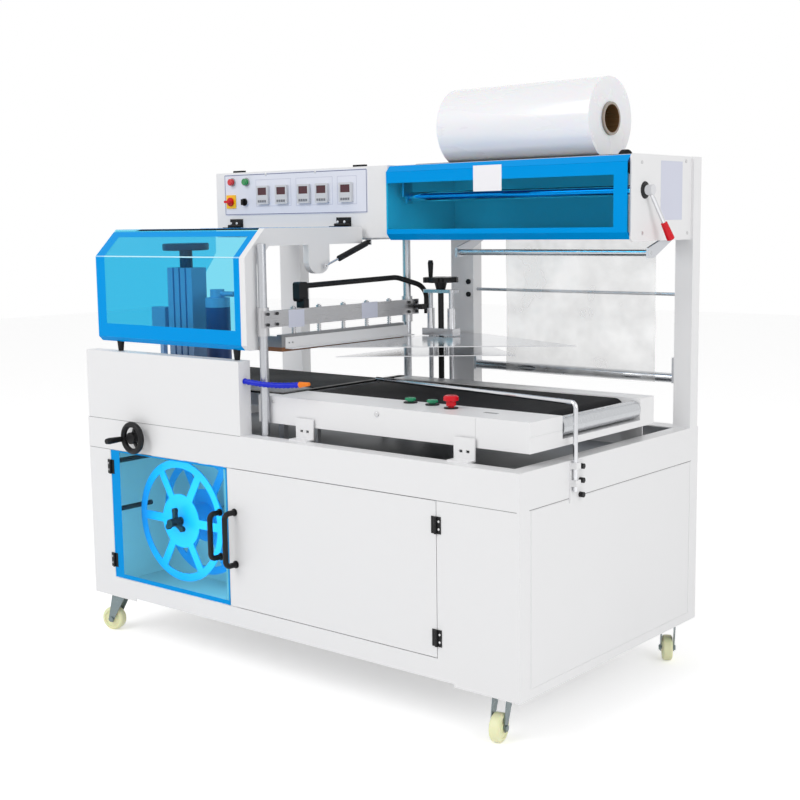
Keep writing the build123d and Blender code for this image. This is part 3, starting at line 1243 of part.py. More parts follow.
def lift_frame():
    """Two ground rods, a base rail on the deck and a bored cap."""
    rail = block(LIFT_XS[0] - LIFT_CAP_MARGIN, LIFT_XS[1] + LIFT_CAP_MARGIN, LIFT_RAIL_Y0, LIFT_RAIL_Y1,
                 LOWER_DECK_Z + SHEET, CONV_Z0)
    cap = block(LIFT_XS[0] - LIFT_CAP_MARGIN, LIFT_XS[1] + LIFT_CAP_MARGIN, LIFT_Y - LIFT_CAP_DEPTH / 2,
                LIFT_Y + LIFT_CAP_DEPTH / 2, LIFT_TOP, LIFT_TOP + LIFT_CAP_H)
    cap = rounded(cap, Axis.Z, LIFT_CAP_H)
    screw = lift_screw_x()
    cap -= rod_z(screw, LIFT_Y, LIFT_TOP - OVERRUN, LIFT_TOP + LIFT_CAP_H + OVERRUN, LIFT_SCREW_R + RUNNING)
    rail -= rod_z(screw, LIFT_Y, CONV_Z0 - LIFT_CAP_H, CONV_Z0 + OVERRUN, LIFT_SCREW_R + RUNNING)
    rods = [rod_z(x, LIFT_Y, CONV_Z0, LIFT_TOP, LIFT_ROD_R) for x in LIFT_XS]
    return [rail, cap] + rods


def lift_carriage():
    """Bored block with two tall guide sleeves and the hangers of the lower plate."""
    block_y0, block_y1 = LIFT_Y - LIFT_CAP_DEPTH / 2, LIFT_Y + LIFT_CAP_DEPTH / 2
    carriage = block(LIFT_XS[0] - LIFT_CAP_MARGIN, LIFT_XS[1] + LIFT_CAP_MARGIN, block_y0, block_y1,
                     CARRIAGE_Z0, CARRIAGE_Z1)
    for x in LIFT_XS:
        carriage += rod_z(x, LIFT_Y, CARRIAGE_Z1, LIFT_SLEEVE_TOP, LIFT_SLEEVE_R)
    for x in LIFT_XS:
        carriage -= rod_z(x, LIFT_Y, CARRIAGE_Z0 - OVERRUN, LIFT_SLEEVE_TOP + OVERRUN, LIFT_ROD_R + RUNNING)
    carriage -= rod_z(lift_screw_x(), LIFT_Y, CARRIAGE_Z0 - OVERRUN, CARRIAGE_Z1 + OVERRUN,
                      LIFT_SCREW_R + RUNNING)
    return carriage


def plate_holes(plate, z):
    for x, r in ((LIFT_XS[0], LIFT_ROD_R), (LIFT_XS[1], LIFT_ROD_R), (lift_screw_x(), LIFT_SCREW_R)):
        plate -= rod_z(x, LIFT_Y, z - OVERRUN, z + PLATE_THICK + OVERRUN, r + PLATE_HOLE_GAP)
    return plate


def upper_plate():
    """Thin triangular plate that opens the folded film."""
    x0 = PLATE_TIP[0]
    points = [PLATE_TIP, PLATE_RIGHT, (PLATE_REAR_X, PLATE_REAR_Y), (x0, PLATE_REAR_Y)]
    return plate_holes(prism_z(UPPER_PLATE_Z, UPPER_PLATE_Z + PLATE_THICK, points), UPPER_PLATE_Z)


def lower_plate():
    """Second triangular plate below the first, hung from it on spacers."""
    x0 = LOWER_TIP[0]
    points = [LOWER_TIP, LOWER_RIGHT, (PLATE_REAR_X, PLATE_REAR_Y), (x0, PLATE_REAR_Y)]
    return plate_holes(prism_z(LOWER_PLATE_Z, LOWER_PLATE_Z + PLATE_THICK, points), LOWER_PLATE_Z)


def plate_spacers():
    """Distance pieces between the plates and between the upper plate and the carriage."""
    parts = []
    for x in (lift_screw_x() - SPACER_OFFSET, lift_screw_x() + SPACER_OFFSET):
        parts.append(rod_z(x, LIFT_Y, LOWER_PLATE_Z + PLATE_THICK, UPPER_PLATE_Z, SPACER_R))
        parts.append(rod_z(x, LIFT_Y, UPPER_PLATE_Z + PLATE_THICK, CARRIAGE_Z0, SPACER_R))
    return parts


SPACER_OFFSET = 21.0
SPACER_R = 6.0


def lift_screw():
    """Lead screw turned in its nut, with the journal that carries the handwheel."""
    x = lift_screw_x()
    return rod_z(x, LIFT_Y, CONV_Z0 - LIFT_CAP_H + SEAT_GAP, WHEEL_Z, LIFT_SCREW_R)


def handwheel():
    """Lobed wheel with a hub, bored for the screw."""
    x = lift_screw_x()
    wheel = rod_z(x, LIFT_Y, WHEEL_Z - WHEEL_THICK / 2, WHEEL_Z + WHEEL_THICK / 2, WHEEL_R)
    for i in range(WHEEL_LOBE_COUNT):
        angle = 2 * pi * i / WHEEL_LOBE_COUNT
        wheel -= rod_z(x + WHEEL_R * cos(angle), LIFT_Y + WHEEL_R * sin(angle), WHEEL_Z - WHEEL_THICK,
                       WHEEL_Z + WHEEL_THICK, WHEEL_LOBE_R)
    low = LIFT_TOP + LIFT_CAP_H + SEAT_GAP
    hub = turned([(0, low), (WHEEL_HUB_R * WHEEL_GRIP_SHARE, low), (WHEEL_HUB_R, WHEEL_Z - WHEEL_THICK / 2),
                  (0, WHEEL_Z - WHEEL_THICK / 2)], x, LIFT_Y, 0)
    return (wheel + hub) - rod_z(x, LIFT_Y, low - OVERRUN, WHEEL_Z, LIFT_SCREW_R)


def wheel_grip():
    """Upright turned grip near the wheel's rim."""
    r = WHEEL_GRIP_R
    z0 = WHEEL_Z + WHEEL_THICK / 2
    profile = [(0, z0), (r * WHEEL_GRIP_SHARE, z0), (r, z0 + WHEEL_GRIP_H - r), (r * WHEEL_GRIP_SHARE, z0 + WHEEL_GRIP_H),
               (0, z0 + WHEEL_GRIP_H)]
    return turned(profile, lift_screw_x() - WHEEL_R * WHEEL_GRIP_SHARE, LIFT_Y, 0)


# Film rods across the rear opening
IDLER_R = 9.0
IDLER_SET_IN = 195.0
IDLER_Y = POST_Y0 - IDLER_SET_IN
IDLER_Z = 1205.0
IDLER_LEFT_INSET = 88.0
IDLER_RIGHT_INSET = 10.0
IDLER_X0 = MIDDLE_POST[1] + IDLER_LEFT_INSET
IDLER_X1 = FILM_X1 - IDLER_RIGHT_INSET
ARM_THICK = 8.0
ARM_WIDTH = 34.0
ARM_END = 14.0
ROD_R = 5.0
ROD_SET_BACK = 22.0
ROD_Y = POST_Y0 + ROD_SET_BACK
ROD_Z = 1082.0
LOW_ROLLER_R = 14.0
LOW_ROLLER_Z = 842.0
LOW_ROLLER_SET_BACK = 16.0
LOW_ROLLER_Y = POST_Y0 + LOW_ROLLER_SET_BACK
ROLLER_SHAFT_R = 6.0
TAB_RISE = 60.0
BOLT_ZS = (1106.0, 1066.0)
MIDDLE_BOLT_X = 866.0


def idler_arms():
    """Slanted hangers from the head down to the upper film roller."""
    parts = []
    for x in (IDLER_X0, IDLER_X1 - ARM_THICK):
        points = [(IDLER_Y - ARM_END, IDLER_Z - ARM_END), (IDLER_Y + ARM_END, IDLER_Z - ARM_END),
                  (POST_Y0 - FLOOR_DEPTH + 2 * ARM_WIDTH, FILM_Z0), (POST_Y0 - FLOOR_DEPTH + ARM_END, FILM_Z0),
                  (IDLER_Y - ARM_END, IDLER_Z + ARM_END)]
        arm = prism_x(x, x + ARM_THICK, points)
        parts.append(arm - rod_x(x - OVERRUN, x + ARM_THICK + OVERRUN, IDLER_Y, IDLER_Z,
                                 ROLLER_SHAFT_R + RUNNING))
    return parts


def idler_roller():
    roller = rod_x(IDLER_X0 + ARM_THICK + SEAT_GAP, IDLER_X1 - ARM_THICK - SEAT_GAP, IDLER_Y, IDLER_Z, IDLER_R)
    return roller + rod_x(IDLER_X0, IDLER_X1, IDLER_Y, IDLER_Z, ROLLER_SHAFT_R)


def film_rod():
    """Thin fixed rod between the middle and right posts."""
    return rod_x(MIDDLE_POST[1], RIGHT_POST[0], ROD_Y, ROD_Z, ROD_R)


def low_roller():
    """Roller that the film turns under, between the posts."""
    x0, x1 = MIDDLE_POST[1] + ARM_THICK, RIGHT_POST[0] - ARM_THICK
    roller = rod_x(x0 + SEAT_GAP, x1 - SEAT_GAP, LOW_ROLLER_Y, LOW_ROLLER_Z, LOW_ROLLER_R)
    return roller + rod_x(MIDDLE_POST[1] + SEAT_GAP, RIGHT_POST[0] - SEAT_GAP, LOW_ROLLER_Y, LOW_ROLLER_Z,
                          ROLLER_SHAFT_R)


def low_roller_bearings():
    """Bored plates on the posts' inner faces."""
    parts = []
    for x in (MIDDLE_POST[1], RIGHT_POST[0] - ARM_THICK):
        plate = block(x, x + ARM_THICK, LOW_ROLLER_Y - LOW_ROLLER_R, LOW_ROLLER_Y + LOW_ROLLER_R,
                      LOW_ROLLER_Z - LOW_ROLLER_R, LOW_ROLLER_Z + TAB_RISE)
        parts.append(plate - rod_x(x - OVERRUN, x + ARM_THICK + OVERRUN, LOW_ROLLER_Y, LOW_ROLLER_Z,
                                   ROLLER_SHAFT_R + RUNNING))
    return parts


def post_bolts():
    """Two black cap screws on the middle post's front."""
    return [rod_y(MIDDLE_BOLT_X, POST_Y0 - BOLT_HEAD_H, POST_Y0, z, BOLT_HEAD_R) for z in BOLT_ZS]


# Hanging film
WEB_WIDTH = 525.0
WEB_END_GAP = 103.0
WEB_X1 = FILM_X1 - WEB_END_GAP
WEB_X0 = WEB_X1 - WEB_WIDTH
WEB_THICK = 1.2
WEB_LAP = 30.0
WEB_SWEEP = 14.0


def film_web():
    """Folded film as a thin sheet hanging from the rear of the head down to the low roller."""
    y0 = POST_Y0 + SEAT_GAP
    return block(WEB_X0, WEB_X1, y0, y0 + WEB_THICK, LOW_ROLLER_Z - WEB_SWEEP, FILM_Z0 + WEB_LAP)


# Doors
DOOR_HINGE_R = 4.0
DOOR_HINGE_H = 44.0
DOOR_HINGE_OFFSET = 7.0
DOOR_LEAF = 15.0
DOOR_LEAF_THICK = 2.0
LEFT_HINGE_ZS = (553.0, 255.0)
RIGHT_HINGE_ZS = (545.0, 253.0)
DOOR_PIN_R = 1.8
HANDLE_R = 8.0
HANDLE_STAND = 40.0
HANDLE_FOOT_R = 11.0
LEFT_HANDLE = (600.0, 341.0, 472.0)
RIGHT_HANDLE = (662.0, 327.0, 480.0)
HANDLE_BEND = 16.0


def door_span(left):
    if left:
        return LEFT_DOOR_X0, LEFT_DOOR_X1
    return LEFT_DOOR_X1 + DOOR_GAP, RIGHT_DOOR_X1


def door_panel(left):
    """Flat door leaf with rounded corners."""
    x0, x1 = door_span(left)
    return block(x0, x1, 0, DOOR_THICK, DOOR_BOTTOM, DOOR_TOP)


def hinge_axis(left):
    x0, x1 = door_span(left)
    return (x0 - DOOR_GAP / 2, -DOOR_HINGE_R) if left else (x1 + DOOR_GAP / 2, -DOOR_HINGE_R)


def door_hinges(left, moving):
    """Black butt hinges on the face: a leaf, its knuckles and, on the fixed side, the pin."""
    x, y = hinge_axis(left)
    side = 1 if left == moving else -1
    parts = []
    for z in (LEFT_HINGE_ZS if left else RIGHT_HINGE_ZS):
        z0, z1, third = z - DOOR_HINGE_H / 2, z + DOOR_HINGE_H / 2, DOOR_HINGE_H / 3
        xa, xb = sorted((x, x + side * DOOR_LEAF))
        leaf = block(xa, xb, -DOOR_LEAF_THICK, 0, z0, z1)
        if moving:
            solid = leaf + rod_z(x, y, z0 + third + SEAT_GAP, z1 - third - SEAT_GAP, DOOR_HINGE_R)
            cuts = ((z0 - OVERRUN, z0 + third + SEAT_GAP), (z1 - third - SEAT_GAP, z1 + OVERRUN))
        else:
            solid = leaf + rod_z(x, y, z0, z1, DOOR_HINGE_R)
            cuts = ((z0 + third, z1 - third),)
        for c0, c1 in cuts:
            solid -= rod_z(x, y, c0, c1, DOOR_HINGE_R + SEAT_GAP)
        bore = DOOR_PIN_R + (RUNNING if moving else 0)
        solid -= rod_z(x, y, z0 - OVERRUN, z1 + OVERRUN, bore)
        parts.append(solid)
        if not moving:
            parts.append(rod_z(x, y, z0, z1, DOOR_PIN_R))
    return parts


def door_handle(left):
    """D handle bent from round bar, on two feet."""
    x, z0, z1 = LEFT_HANDLE if left else RIGHT_HANDLE
    path = FilletPolyline((x, 0, z0), (x, -HANDLE_STAND, z0), (x, -HANDLE_STAND, z1), (x, 0, z1),
                          radius=HANDLE_BEND)
    start = Plane(origin=path @ 0, z_dir=path % 0)
    bar = sweep(start * Circle(HANDLE_R), path=path)
    for z in (z0, z1):
        bar += rod_y(x, -SHEET, 0, z, HANDLE_FOOT_R)
    return bar


# Waste-film reel
REEL_X = 315.0
REEL_Z = 390.0
REEL_R = 190.0
REEL_RIM = 24.0
REEL_HUB_R = 34.0
REEL_SHAFT_R = 10.0
REEL_FRONT_Y = 96.0
REEL_GAP = 95.0
REEL_THICK = 3.0
REEL_SPOKE_COUNT = 6
REEL_SPOKE_WIDTH = 27.0
REEL_HUB_DISC_R = 84.0
REEL_CORE_R = 42.0
REEL_KNOB_LENGTH = 46.0
REEL_KNOB_R = 13.0
KNOB_ARM_LENGTH = 36.0
KNOB_ARM_COUNT = 3


def reel_flange(y0):
    """Disc with curved-triangle windows between its spokes."""
    disc = rod_y(REEL_X, y0, y0 + REEL_THICK, REEL_Z, REEL_R)
    ring = rod_y(REEL_X, y0 - OVERRUN, y0 + REEL_THICK + OVERRUN, REEL_Z, REEL_R - REEL_RIM)
    ring -= rod_y(REEL_X, y0 - 2 * OVERRUN, y0 + REEL_THICK + 2 * OVERRUN, REEL_Z, REEL_HUB_DISC_R)
    for i in range(REEL_SPOKE_COUNT // 2):
        spoke = Box(2 * REEL_R, REEL_THICK + 4 * OVERRUN, REEL_SPOKE_WIDTH)
        ring -= Pos(REEL_X, y0, REEL_Z) * (Rot(0, 360 / REEL_SPOKE_COUNT * i, 0) * spoke)
    return disc - ring - rod_y(REEL_X, y0 - OVERRUN, y0 + REEL_THICK + OVERRUN, REEL_Z,
                               REEL_SHAFT_R + RUNNING)


def reel_flanges():
    return [reel_flange(REEL_FRONT_Y), reel_flange(REEL_FRONT_Y + REEL_THICK + REEL_GAP)]


def reel_core():
    """Drum between the flanges."""
    y0 = REEL_FRONT_Y + REEL_THICK
    core = rod_y(REEL_X, y0, y0 + REEL_GAP, REEL_Z, REEL_CORE_R)
    return core - rod_y(REEL_X, y0 - OVERRUN, y0 + REEL_GAP + OVERRUN, REEL_Z, REEL_SHAFT_R + RUNNING)


def reel_shaft():
    """Fixed shaft out of the compartment's rear wall, with a collar behind the reel."""
    shaft = rod_y(REEL_X, REEL_FRONT_Y - SHEET, PARTITION_Y + SHEET, REEL_Z, REEL_SHAFT_R)
    collar_y = REEL_FRONT_Y + 2 * REEL_THICK + REEL_GAP + SEAT_GAP
    return shaft + rod_y(REEL_X, collar_y, PARTITION_Y, REEL_Z, REEL_HUB_R / 2)


def reel_knob():
    """Three-armed clamping knob on the reel's front."""
    y1 = REEL_FRONT_Y
    knob = rod_y(REEL_X, y1 - REEL_KNOB_LENGTH, y1, REEL_Z, REEL_KNOB_R)
    for i in range(KNOB_ARM_COUNT):
        arm = Pos(KNOB_ARM_LENGTH / 2, 0, 0) * Box(KNOB_ARM_LENGTH, KNOB_ARM_THICK, REEL_KNOB_R)
        arm += Pos(KNOB_ARM_LENGTH, 0, 0) * (Rot(90, 0, 0) * Cylinder(KNOB_TIP_R, KNOB_ARM_THICK))
        knob += Pos(REEL_X, y1 - REEL_KNOB_LENGTH / 2, REEL_Z) * (Rot(0, 360 / KNOB_ARM_COUNT * i + KNOB_TURN, 0) * arm)
    return knob - rod_y(REEL_X, y1 - SHEET - SEAT_GAP, y1 + OVERRUN, REEL_Z, REEL_SHAFT_R + RUNNING)


KNOB_ARM_THICK = 12.0
KNOB_TIP_R = 8.7
KNOB_TURN = 30.0


# Bars for the waste film, from the front sheet back into the reel compartment
WASTE_BAR_R = 8.0
WASTE_BAR_X = 92.0
WASTE_BAR_ZS = (564.0, 410.0)
WASTE_BAR_LENGTH = 162.0


def waste_bars():
    return [rod_y(WASTE_BAR_X, SHEET, SHEET + WASTE_BAR_LENGTH, z, WASTE_BAR_R) for z in WASTE_BAR_ZS]


# Hand crank on the front band
CRANK_X = 250.0
CRANK_Z = 660.0
CRANK_SHAFT_R = 8.0
CRANK_R = 50.0
CRANK_RIM_R = 9.0
CRANK_Y = -28.0
CRANK_HUB_R = 18.0
CRANK_SPOKE = 8.0
CRANK_SPOKE_COUNT = 3
CRANK_HUB_PROUD = 9.0
CRANK_GRIP_ANGLE = 188.0
CRANK_GRIP_R = 10.0
CRANK_GRIP_LENGTH = 57.0
CRANK_FLANGE_R = 20.0
CRANK_BEARING = 30.0


def crank_wheel():
    """Round rim on three spokes and a hub, fixed to its shaft."""
    wheel = Pos(CRANK_X, CRANK_Y, CRANK_Z) * (Rot(90, 0, 0) * Torus(CRANK_R - CRANK_RIM_R, CRANK_RIM_R))
    reach = CRANK_R - CRANK_RIM_R
    for i in range(CRANK_SPOKE_COUNT):
        spoke = Pos(reach / 2, 0, 0) * Box(reach, CRANK_SPOKE, CRANK_SPOKE)
        turn = -CRANK_GRIP_ANGLE - 360 / CRANK_SPOKE_COUNT * i
        wheel += Pos(CRANK_X, CRANK_Y, CRANK_Z) * (Rot(0, turn, 0) * spoke)
    wheel += rod_y(CRANK_X, CRANK_Y - CRANK_HUB_PROUD, -SHEET - SEAT_GAP, CRANK_Z, CRANK_HUB_R)
    return wheel + rod_y(CRANK_X, -SHEET * 2, SHEET + CRANK_BEARING, CRANK_Z, CRANK_SHAFT_R)


def crank_grip():
    """Turned grip on a pin near the rim."""
    a = radians(CRANK_GRIP_ANGLE)
    r = CRANK_R - CRANK_RIM_R
    x, z = CRANK_X + r * cos(a), CRANK_Z + r * sin(a)
    y1 = CRANK_Y - CRANK_RIM_R - SEAT_GAP
    profile = [(0, 0), (CRANK_GRIP_R * GRIP_TAPER_SHARE, 0), (CRANK_GRIP_R, CRANK_GRIP_LENGTH * GRIP_TAPER_SHARE),
               (CRANK_GRIP_R * GRIP_TAPER_SHARE, CRANK_GRIP_LENGTH), (0, CRANK_GRIP_LENGTH)]
    return turned(profile, x, y1, z, tilt=(90, 0, 0))


def crank_bearing():
    """Flanged bush through the front sheet that carries the crank's shaft."""
    bush = rod_y(CRANK_X, -SHEET, 0, CRANK_Z, CRANK_FLANGE_R)
    bush += rod_y(CRANK_X, SHEET, SHEET + CRANK_BEARING, CRANK_Z, CRANK_FLANGE_R)
    return [solid - rod_y(CRANK_X, -SHEET - OVERRUN, SHEET + CRANK_BEARING + OVERRUN, CRANK_Z,
                          CRANK_SHAFT_R + RUNNING) for solid in bush.solids()]


# Castors
CASTOR_WHEEL_R = 37.5
CASTOR_WHEEL_WIDTH = 30.0
CASTOR_TRAIL = 30.0
CASTOR_INSETS = ((48.0, 64.0), (109.0, 84.0), (70.0, 64.0), (56.0, 58.0))
CASTOR_TURNS = (200.0, 283.0, 110.0, 122.0)
CASTOR_PLACES = (("front_left", CASTOR_INSETS[0][0], CASTOR_INSETS[0][1], CASTOR_TURNS[0]),
                 ("front_right", LENGTH - CASTOR_INSETS[1][0], CASTOR_INSETS[1][1], CASTOR_TURNS[1]),
                 ("rear_left", CASTOR_INSETS[2][0], WIDTH - CASTOR_INSETS[2][1], CASTOR_TURNS[2]),
                 ("rear_right", LENGTH - CASTOR_INSETS[3][0], WIDTH - CASTOR_INSETS[3][1], CASTOR_TURNS[3]))
CASTOR_PLATE_X = 84.0
CASTOR_PLATE_Y = 64.0
CASTOR_PLATE_THICK = 3.0
CASTOR_RACE_R = 24.0
CASTOR_RACE_H = 8.0
FORK_THICK = 3.0
FORK_SIDE_GAP = 2.5
FORK_TOP_WIDTH = 46.0
FORK_END_WIDTH = 20.0
FORK_CROWN_Z = 118.0
AXLE_R = 5.0
AXLE_HEAD_R = 8.0
AXLE_HEAD_H = 4.0
WHEEL_HUB_STEP = 1.5
WHEEL_TREAD_ROUND = 6.0
KINGPIN_R = 6.0


def castor_place(x, y, angle):
    """Frame at the swivel on the floor, with its own x axis towards the wheel."""
    return Pos(x, y, 0) * Rot(0, 0, angle)


def castor_fixed(x, y, angle):
    """Top plate, upper race and kingpin."""
    z1 = CABINET_BOTTOM + TOE_NOTCH
    plate = block(x - CASTOR_PLATE_X / 2, x + CASTOR_PLATE_X / 2, y - CASTOR_PLATE_Y / 2,
                  y + CASTOR_PLATE_Y / 2, z1 - CASTOR_PLATE_THICK, z1)
    race_top = z1 - CASTOR_PLATE_THICK
    race = rod_z(x, y, race_top - CASTOR_RACE_H, race_top, CASTOR_RACE_R)
    return plate + race + rod_z(x, y, FORK_CROWN_Z - 2 * FORK_THICK, race_top, KINGPIN_R)


def castor_fork(x, y, angle):
    """Bent steel fork: crown with a race, two tapered legs and the axle bolt."""
    half = CASTOR_WHEEL_WIDTH / 2 + FORK_SIDE_GAP
    race_low = CABINET_BOTTOM + TOE_NOTCH - CASTOR_PLATE_THICK - CASTOR_RACE_H - SEAT_GAP
    crown = block(-FORK_TOP_WIDTH / 2, FORK_TOP_WIDTH / 2, -half - FORK_THICK, half + FORK_THICK,
                  FORK_CROWN_Z - FORK_THICK, FORK_CROWN_Z)
    crown += rod_z(0, 0, FORK_CROWN_Z, race_low, CASTOR_RACE_R)
    crown -= rod_z(0, 0, FORK_CROWN_Z - 3 * FORK_THICK, race_low + OVERRUN, KINGPIN_R + RUNNING)
    leg_points = [(-FORK_TOP_WIDTH / 2, FORK_CROWN_Z), (FORK_TOP_WIDTH / 2, FORK_CROWN_Z),
                  (CASTOR_TRAIL + FORK_END_WIDTH / 2, CASTOR_WHEEL_R),
                  (CASTOR_TRAIL + FORK_END_WIDTH / 4, CASTOR_WHEEL_R - FORK_END_WIDTH / 2),
                  (CASTOR_TRAIL - FORK_END_WIDTH / 4, CASTOR_WHEEL_R - FORK_END_WIDTH / 2),
                  (CASTOR_TRAIL - FORK_END_WIDTH / 2, CASTOR_WHEEL_R)]
    fork = crown
    for y0 in (-half - FORK_THICK, half):
        fork += prism_y(y0, y0 + FORK_THICK, leg_points)
    axle = rod_y(CASTOR_TRAIL, -half - FORK_THICK - AXLE_HEAD_H, half + FORK_THICK + AXLE_HEAD_H,
                 CASTOR_WHEEL_R, AXLE_R)
    for y0 in (-half - FORK_THICK - AXLE_HEAD_H, half + FORK_THICK):
        axle += rod_y(CASTOR_TRAIL, y0, y0 + AXLE_HEAD_H, CASTOR_WHEEL_R, AXLE_HEAD_R)
    return castor_place(x, y, angle) * (fork + axle)


def castor_wheel(x, y, angle):
    """Moulded wheel with a rounded tread, a dished side and a bore."""
    r, w = CASTOR_WHEEL_R, CASTOR_WHEEL_WIDTH / 2
    e = WHEEL_TREAD_ROUND
    profile = [(AXLE_R + RUNNING, -w), (r / 3, -w), (r / 3 + WHEEL_HUB_STEP, -w + e / 2),
               (r - 2 * e, -w + e / 2), (r - 2 * e + WHEEL_HUB_STEP, -w), (r - e, -w), (r - e / 4, -w + e / 2),
               (r, -w + e), (r, w - e), (r - e / 4, w - e / 2), (r - e, w), (r - 2 * e + WHEEL_HUB_STEP, w),
               (r - 2 * e, w - e / 2), (r / 3 + WHEEL_HUB_STEP, w - e / 2), (r / 3, w), (AXLE_R + RUNNING, w)]
    return castor_place(x, y, angle) * turned(profile, CASTOR_TRAIL, 0, r, tilt=(90, 0, 0))


# Pinch shaft inside the film box, turned by the lever
PINCH_R = 14.0
PINCH_X0 = 838.0
HANGER_THICK = 8.0
HANGER_WIDTH = 40.0


def pinch_shaft():
    """Long shaft with a smaller journal at its left end."""
    x1 = FILM_X1 - LEVER_BUSH_LENGTH
    shaft = rod_x(PINCH_X0 + HANGER_THICK + SEAT_GAP, x1 - SEAT_GAP, LEVER_Y, LEVER_Z, PINCH_R)
    shaft += rod_x(PINCH_X0, x1, LEVER_Y, LEVER_Z, LEVER_SHAFT_R)
    return shaft


def pinch_hanger():
    """Plate down from a rail under the roof that carries the pinch shaft's left end."""
    y0, y1 = LEVER_Y - HANGER_WIDTH / 2, LEVER_Y + HANGER_WIDTH / 2
    plate = block(PINCH_X0, PINCH_X0 + HANGER_THICK, y0, HEAD_Y0 + COVER_TOP_LIP + HANGER_WIDTH,
                  LEVER_Z - HANGER_WIDTH / 2, LEVER_Z + HANGER_WIDTH)
    plate += block(PINCH_X0, PINCH_X0 + HANGER_THICK, HEAD_Y0 + COVER_TOP_LIP, HEAD_Y0 + COVER_TOP_LIP + HANGER_WIDTH,
                   LEVER_Z, HEAD_TOP - SHEET)
    return plate - rod_x(PINCH_X0 - OVERRUN, PINCH_X0 + HANGER_THICK + OVERRUN, LEVER_Y, LEVER_Z,
                         LEVER_SHAFT_R + RUNNING)


# Blowing hose of snap-together beads, from the housing's right end
HOSE_SEAT_GAP = 1.2
HOSE_START = (HOUSING_X1 + HOSE_SEAT_GAP, 22.0, 858.0)
HOSE_END = (905.0, 30.0, 861.0)
HOSE_BEAD_COUNT = 14
HOSE_BEAD_R = 8.5
HOSE_NECK_SHARE = 0.72
HOSE_SAG = 6.0
NOZZLE_LENGTH = 34.0
NOZZLE_TIP_R = 5.0


def hose_point(share):
    """Point on the hose's sagging centre line, from 0 at the housing to 1 at the nozzle."""
    (x0, y0, z0), (x1, y1, z1) = HOSE_START, HOSE_END
    sag = -4 * HOSE_SAG * share * (1 - share)
    return Vector(x0 + (x1 - x0) * share, y0 + (y1 - y0) * share, z0 + (z1 - z0) * share + sag)


def bead(start, end, r0, r1):
    """Cone between two points of the hose."""
    length = (end - start).length
    plane = Plane(origin=start, z_dir=end - start)
    return plane * Pos(0, 0, length / 2) * Cone(r0, r1, length)


def air_hose():
    points = [hose_point(i / HOSE_BEAD_COUNT) for i in range(HOSE_BEAD_COUNT + 1)]
    neck = HOSE_BEAD_R * HOSE_NECK_SHARE
    hose = bead(points[0], points[1], HOSE_BEAD_R, neck)
    for start, end in zip(points[1:], points[2:]):
        hose += bead(start, end, HOSE_BEAD_R, neck)
    return hose


def air_nozzle():
    last, before = hose_point(1), hose_point(1 - 1 / HOSE_BEAD_COUNT)
    direction = (last - before).normalized()
    return bead(last, last + direction * NOZZLE_LENGTH, HOSE_BEAD_R, NOZZLE_TIP_R)


# Cable conduit on the sealing head
CONDUIT_R = 8.0
CONDUIT_X = 742.0
CONDUIT_Y0 = 226.0
CONDUIT_Z = 1118.0
CONDUIT_RISE = 8.0
CONDUIT_BEND_SET_IN = 80.0
CONDUIT_END_LAP = 8.0
CONDUIT_BEND_Y = BEAM_Y1 - CONDUIT_BEND_SET_IN
CONDUIT_END_Y = BEAM_Y1 + CONDUIT_END_LAP
CONDUIT_X1 = 790.0
CONDUIT_END_Z = 1010.0
CONDUIT_BEND_R = 50.0
CLIP_Y0 = 190.0
CLIP_WIDTH = 36.0
CLIP_HEIGHT = 44.0
CLIP_THICK = 26.0
CLIP_COVER = 12.0
CONDUIT_TAB = 26.0


def head_conduit():
    """Corrugated black conduit kept as one smooth round bar along its real route."""
    path = FilletPolyline((CONDUIT_X, CONDUIT_Y0, CONDUIT_Z), (CONDUIT_X, CONDUIT_BEND_Y, CONDUIT_Z + CONDUIT_RISE),
                          (CONDUIT_X1, CONDUIT_END_Y, CONDUIT_Z - CONDUIT_R * 3),
                          (CONDUIT_X1, CONDUIT_END_Y, CONDUIT_END_Z), radius=CONDUIT_BEND_R)
    start = Plane(origin=path @ 0, z_dir=path % 0)
    return sweep(start * Circle(CONDUIT_R), path=path)


def conduit_clips():
    """Black clamp on the beam at the conduit's start and a tab at its end."""
    start = block(CONDUIT_X - CLIP_THICK / 2, CONDUIT_X + CLIP_THICK / 2, CLIP_Y0, CLIP_Y0 + CLIP_WIDTH,
                  CONDUIT_Z - CLIP_HEIGHT, CONDUIT_Z + CLIP_COVER)
    start = rounded(start, Axis.X, CONDUIT_R)
    post = block(CONDUIT_X - CLIP_THICK / 4, BEAM_X0 + BEAM_THICK, CLIP_Y0 + CONDUIT_R, CLIP_Y0 + CLIP_WIDTH - CONDUIT_R,
                 BEAM_Z1, CONDUIT_Z - CLIP_HEIGHT + CONDUIT_R)
    tab_z = (BEAM_Z0 + BEAM_Z1) / 2
    end = block(BEAM_X0 + BEAM_THICK, CONDUIT_X1 + CONDUIT_R, BEAM_Y1 - CONDUIT_TAB, BEAM_Y1,
                tab_z - BEAM_THICK / 2, tab_z + BEAM_THICK / 2)
    end += block(CONDUIT_X1 - CONDUIT_R, CONDUIT_X1 + CONDUIT_R, BEAM_Y1 - CONDUIT_TAB,
                 CONDUIT_END_Y - CONDUIT_R, tab_z - BEAM_THICK, tab_z + BEAM_THICK)
    return [start + post, end]


# Electrics behind the right door
BOARD_X0 = 780.0
BOARD_INSET = 116.0
BOARD_X1 = RIGHT_DOOR_X1 - BOARD_INSET
BOARD_Z0 = 230.0
BOARD_Z1 = 560.0
BOARD_Y = 420.0
GEAR_COUNT = 5
GEAR_WIDTH = 60.0
GEAR_DEPTH = 70.0
GEAR_HEIGHT = 85.0
RAIL_HEIGHT = 35.0


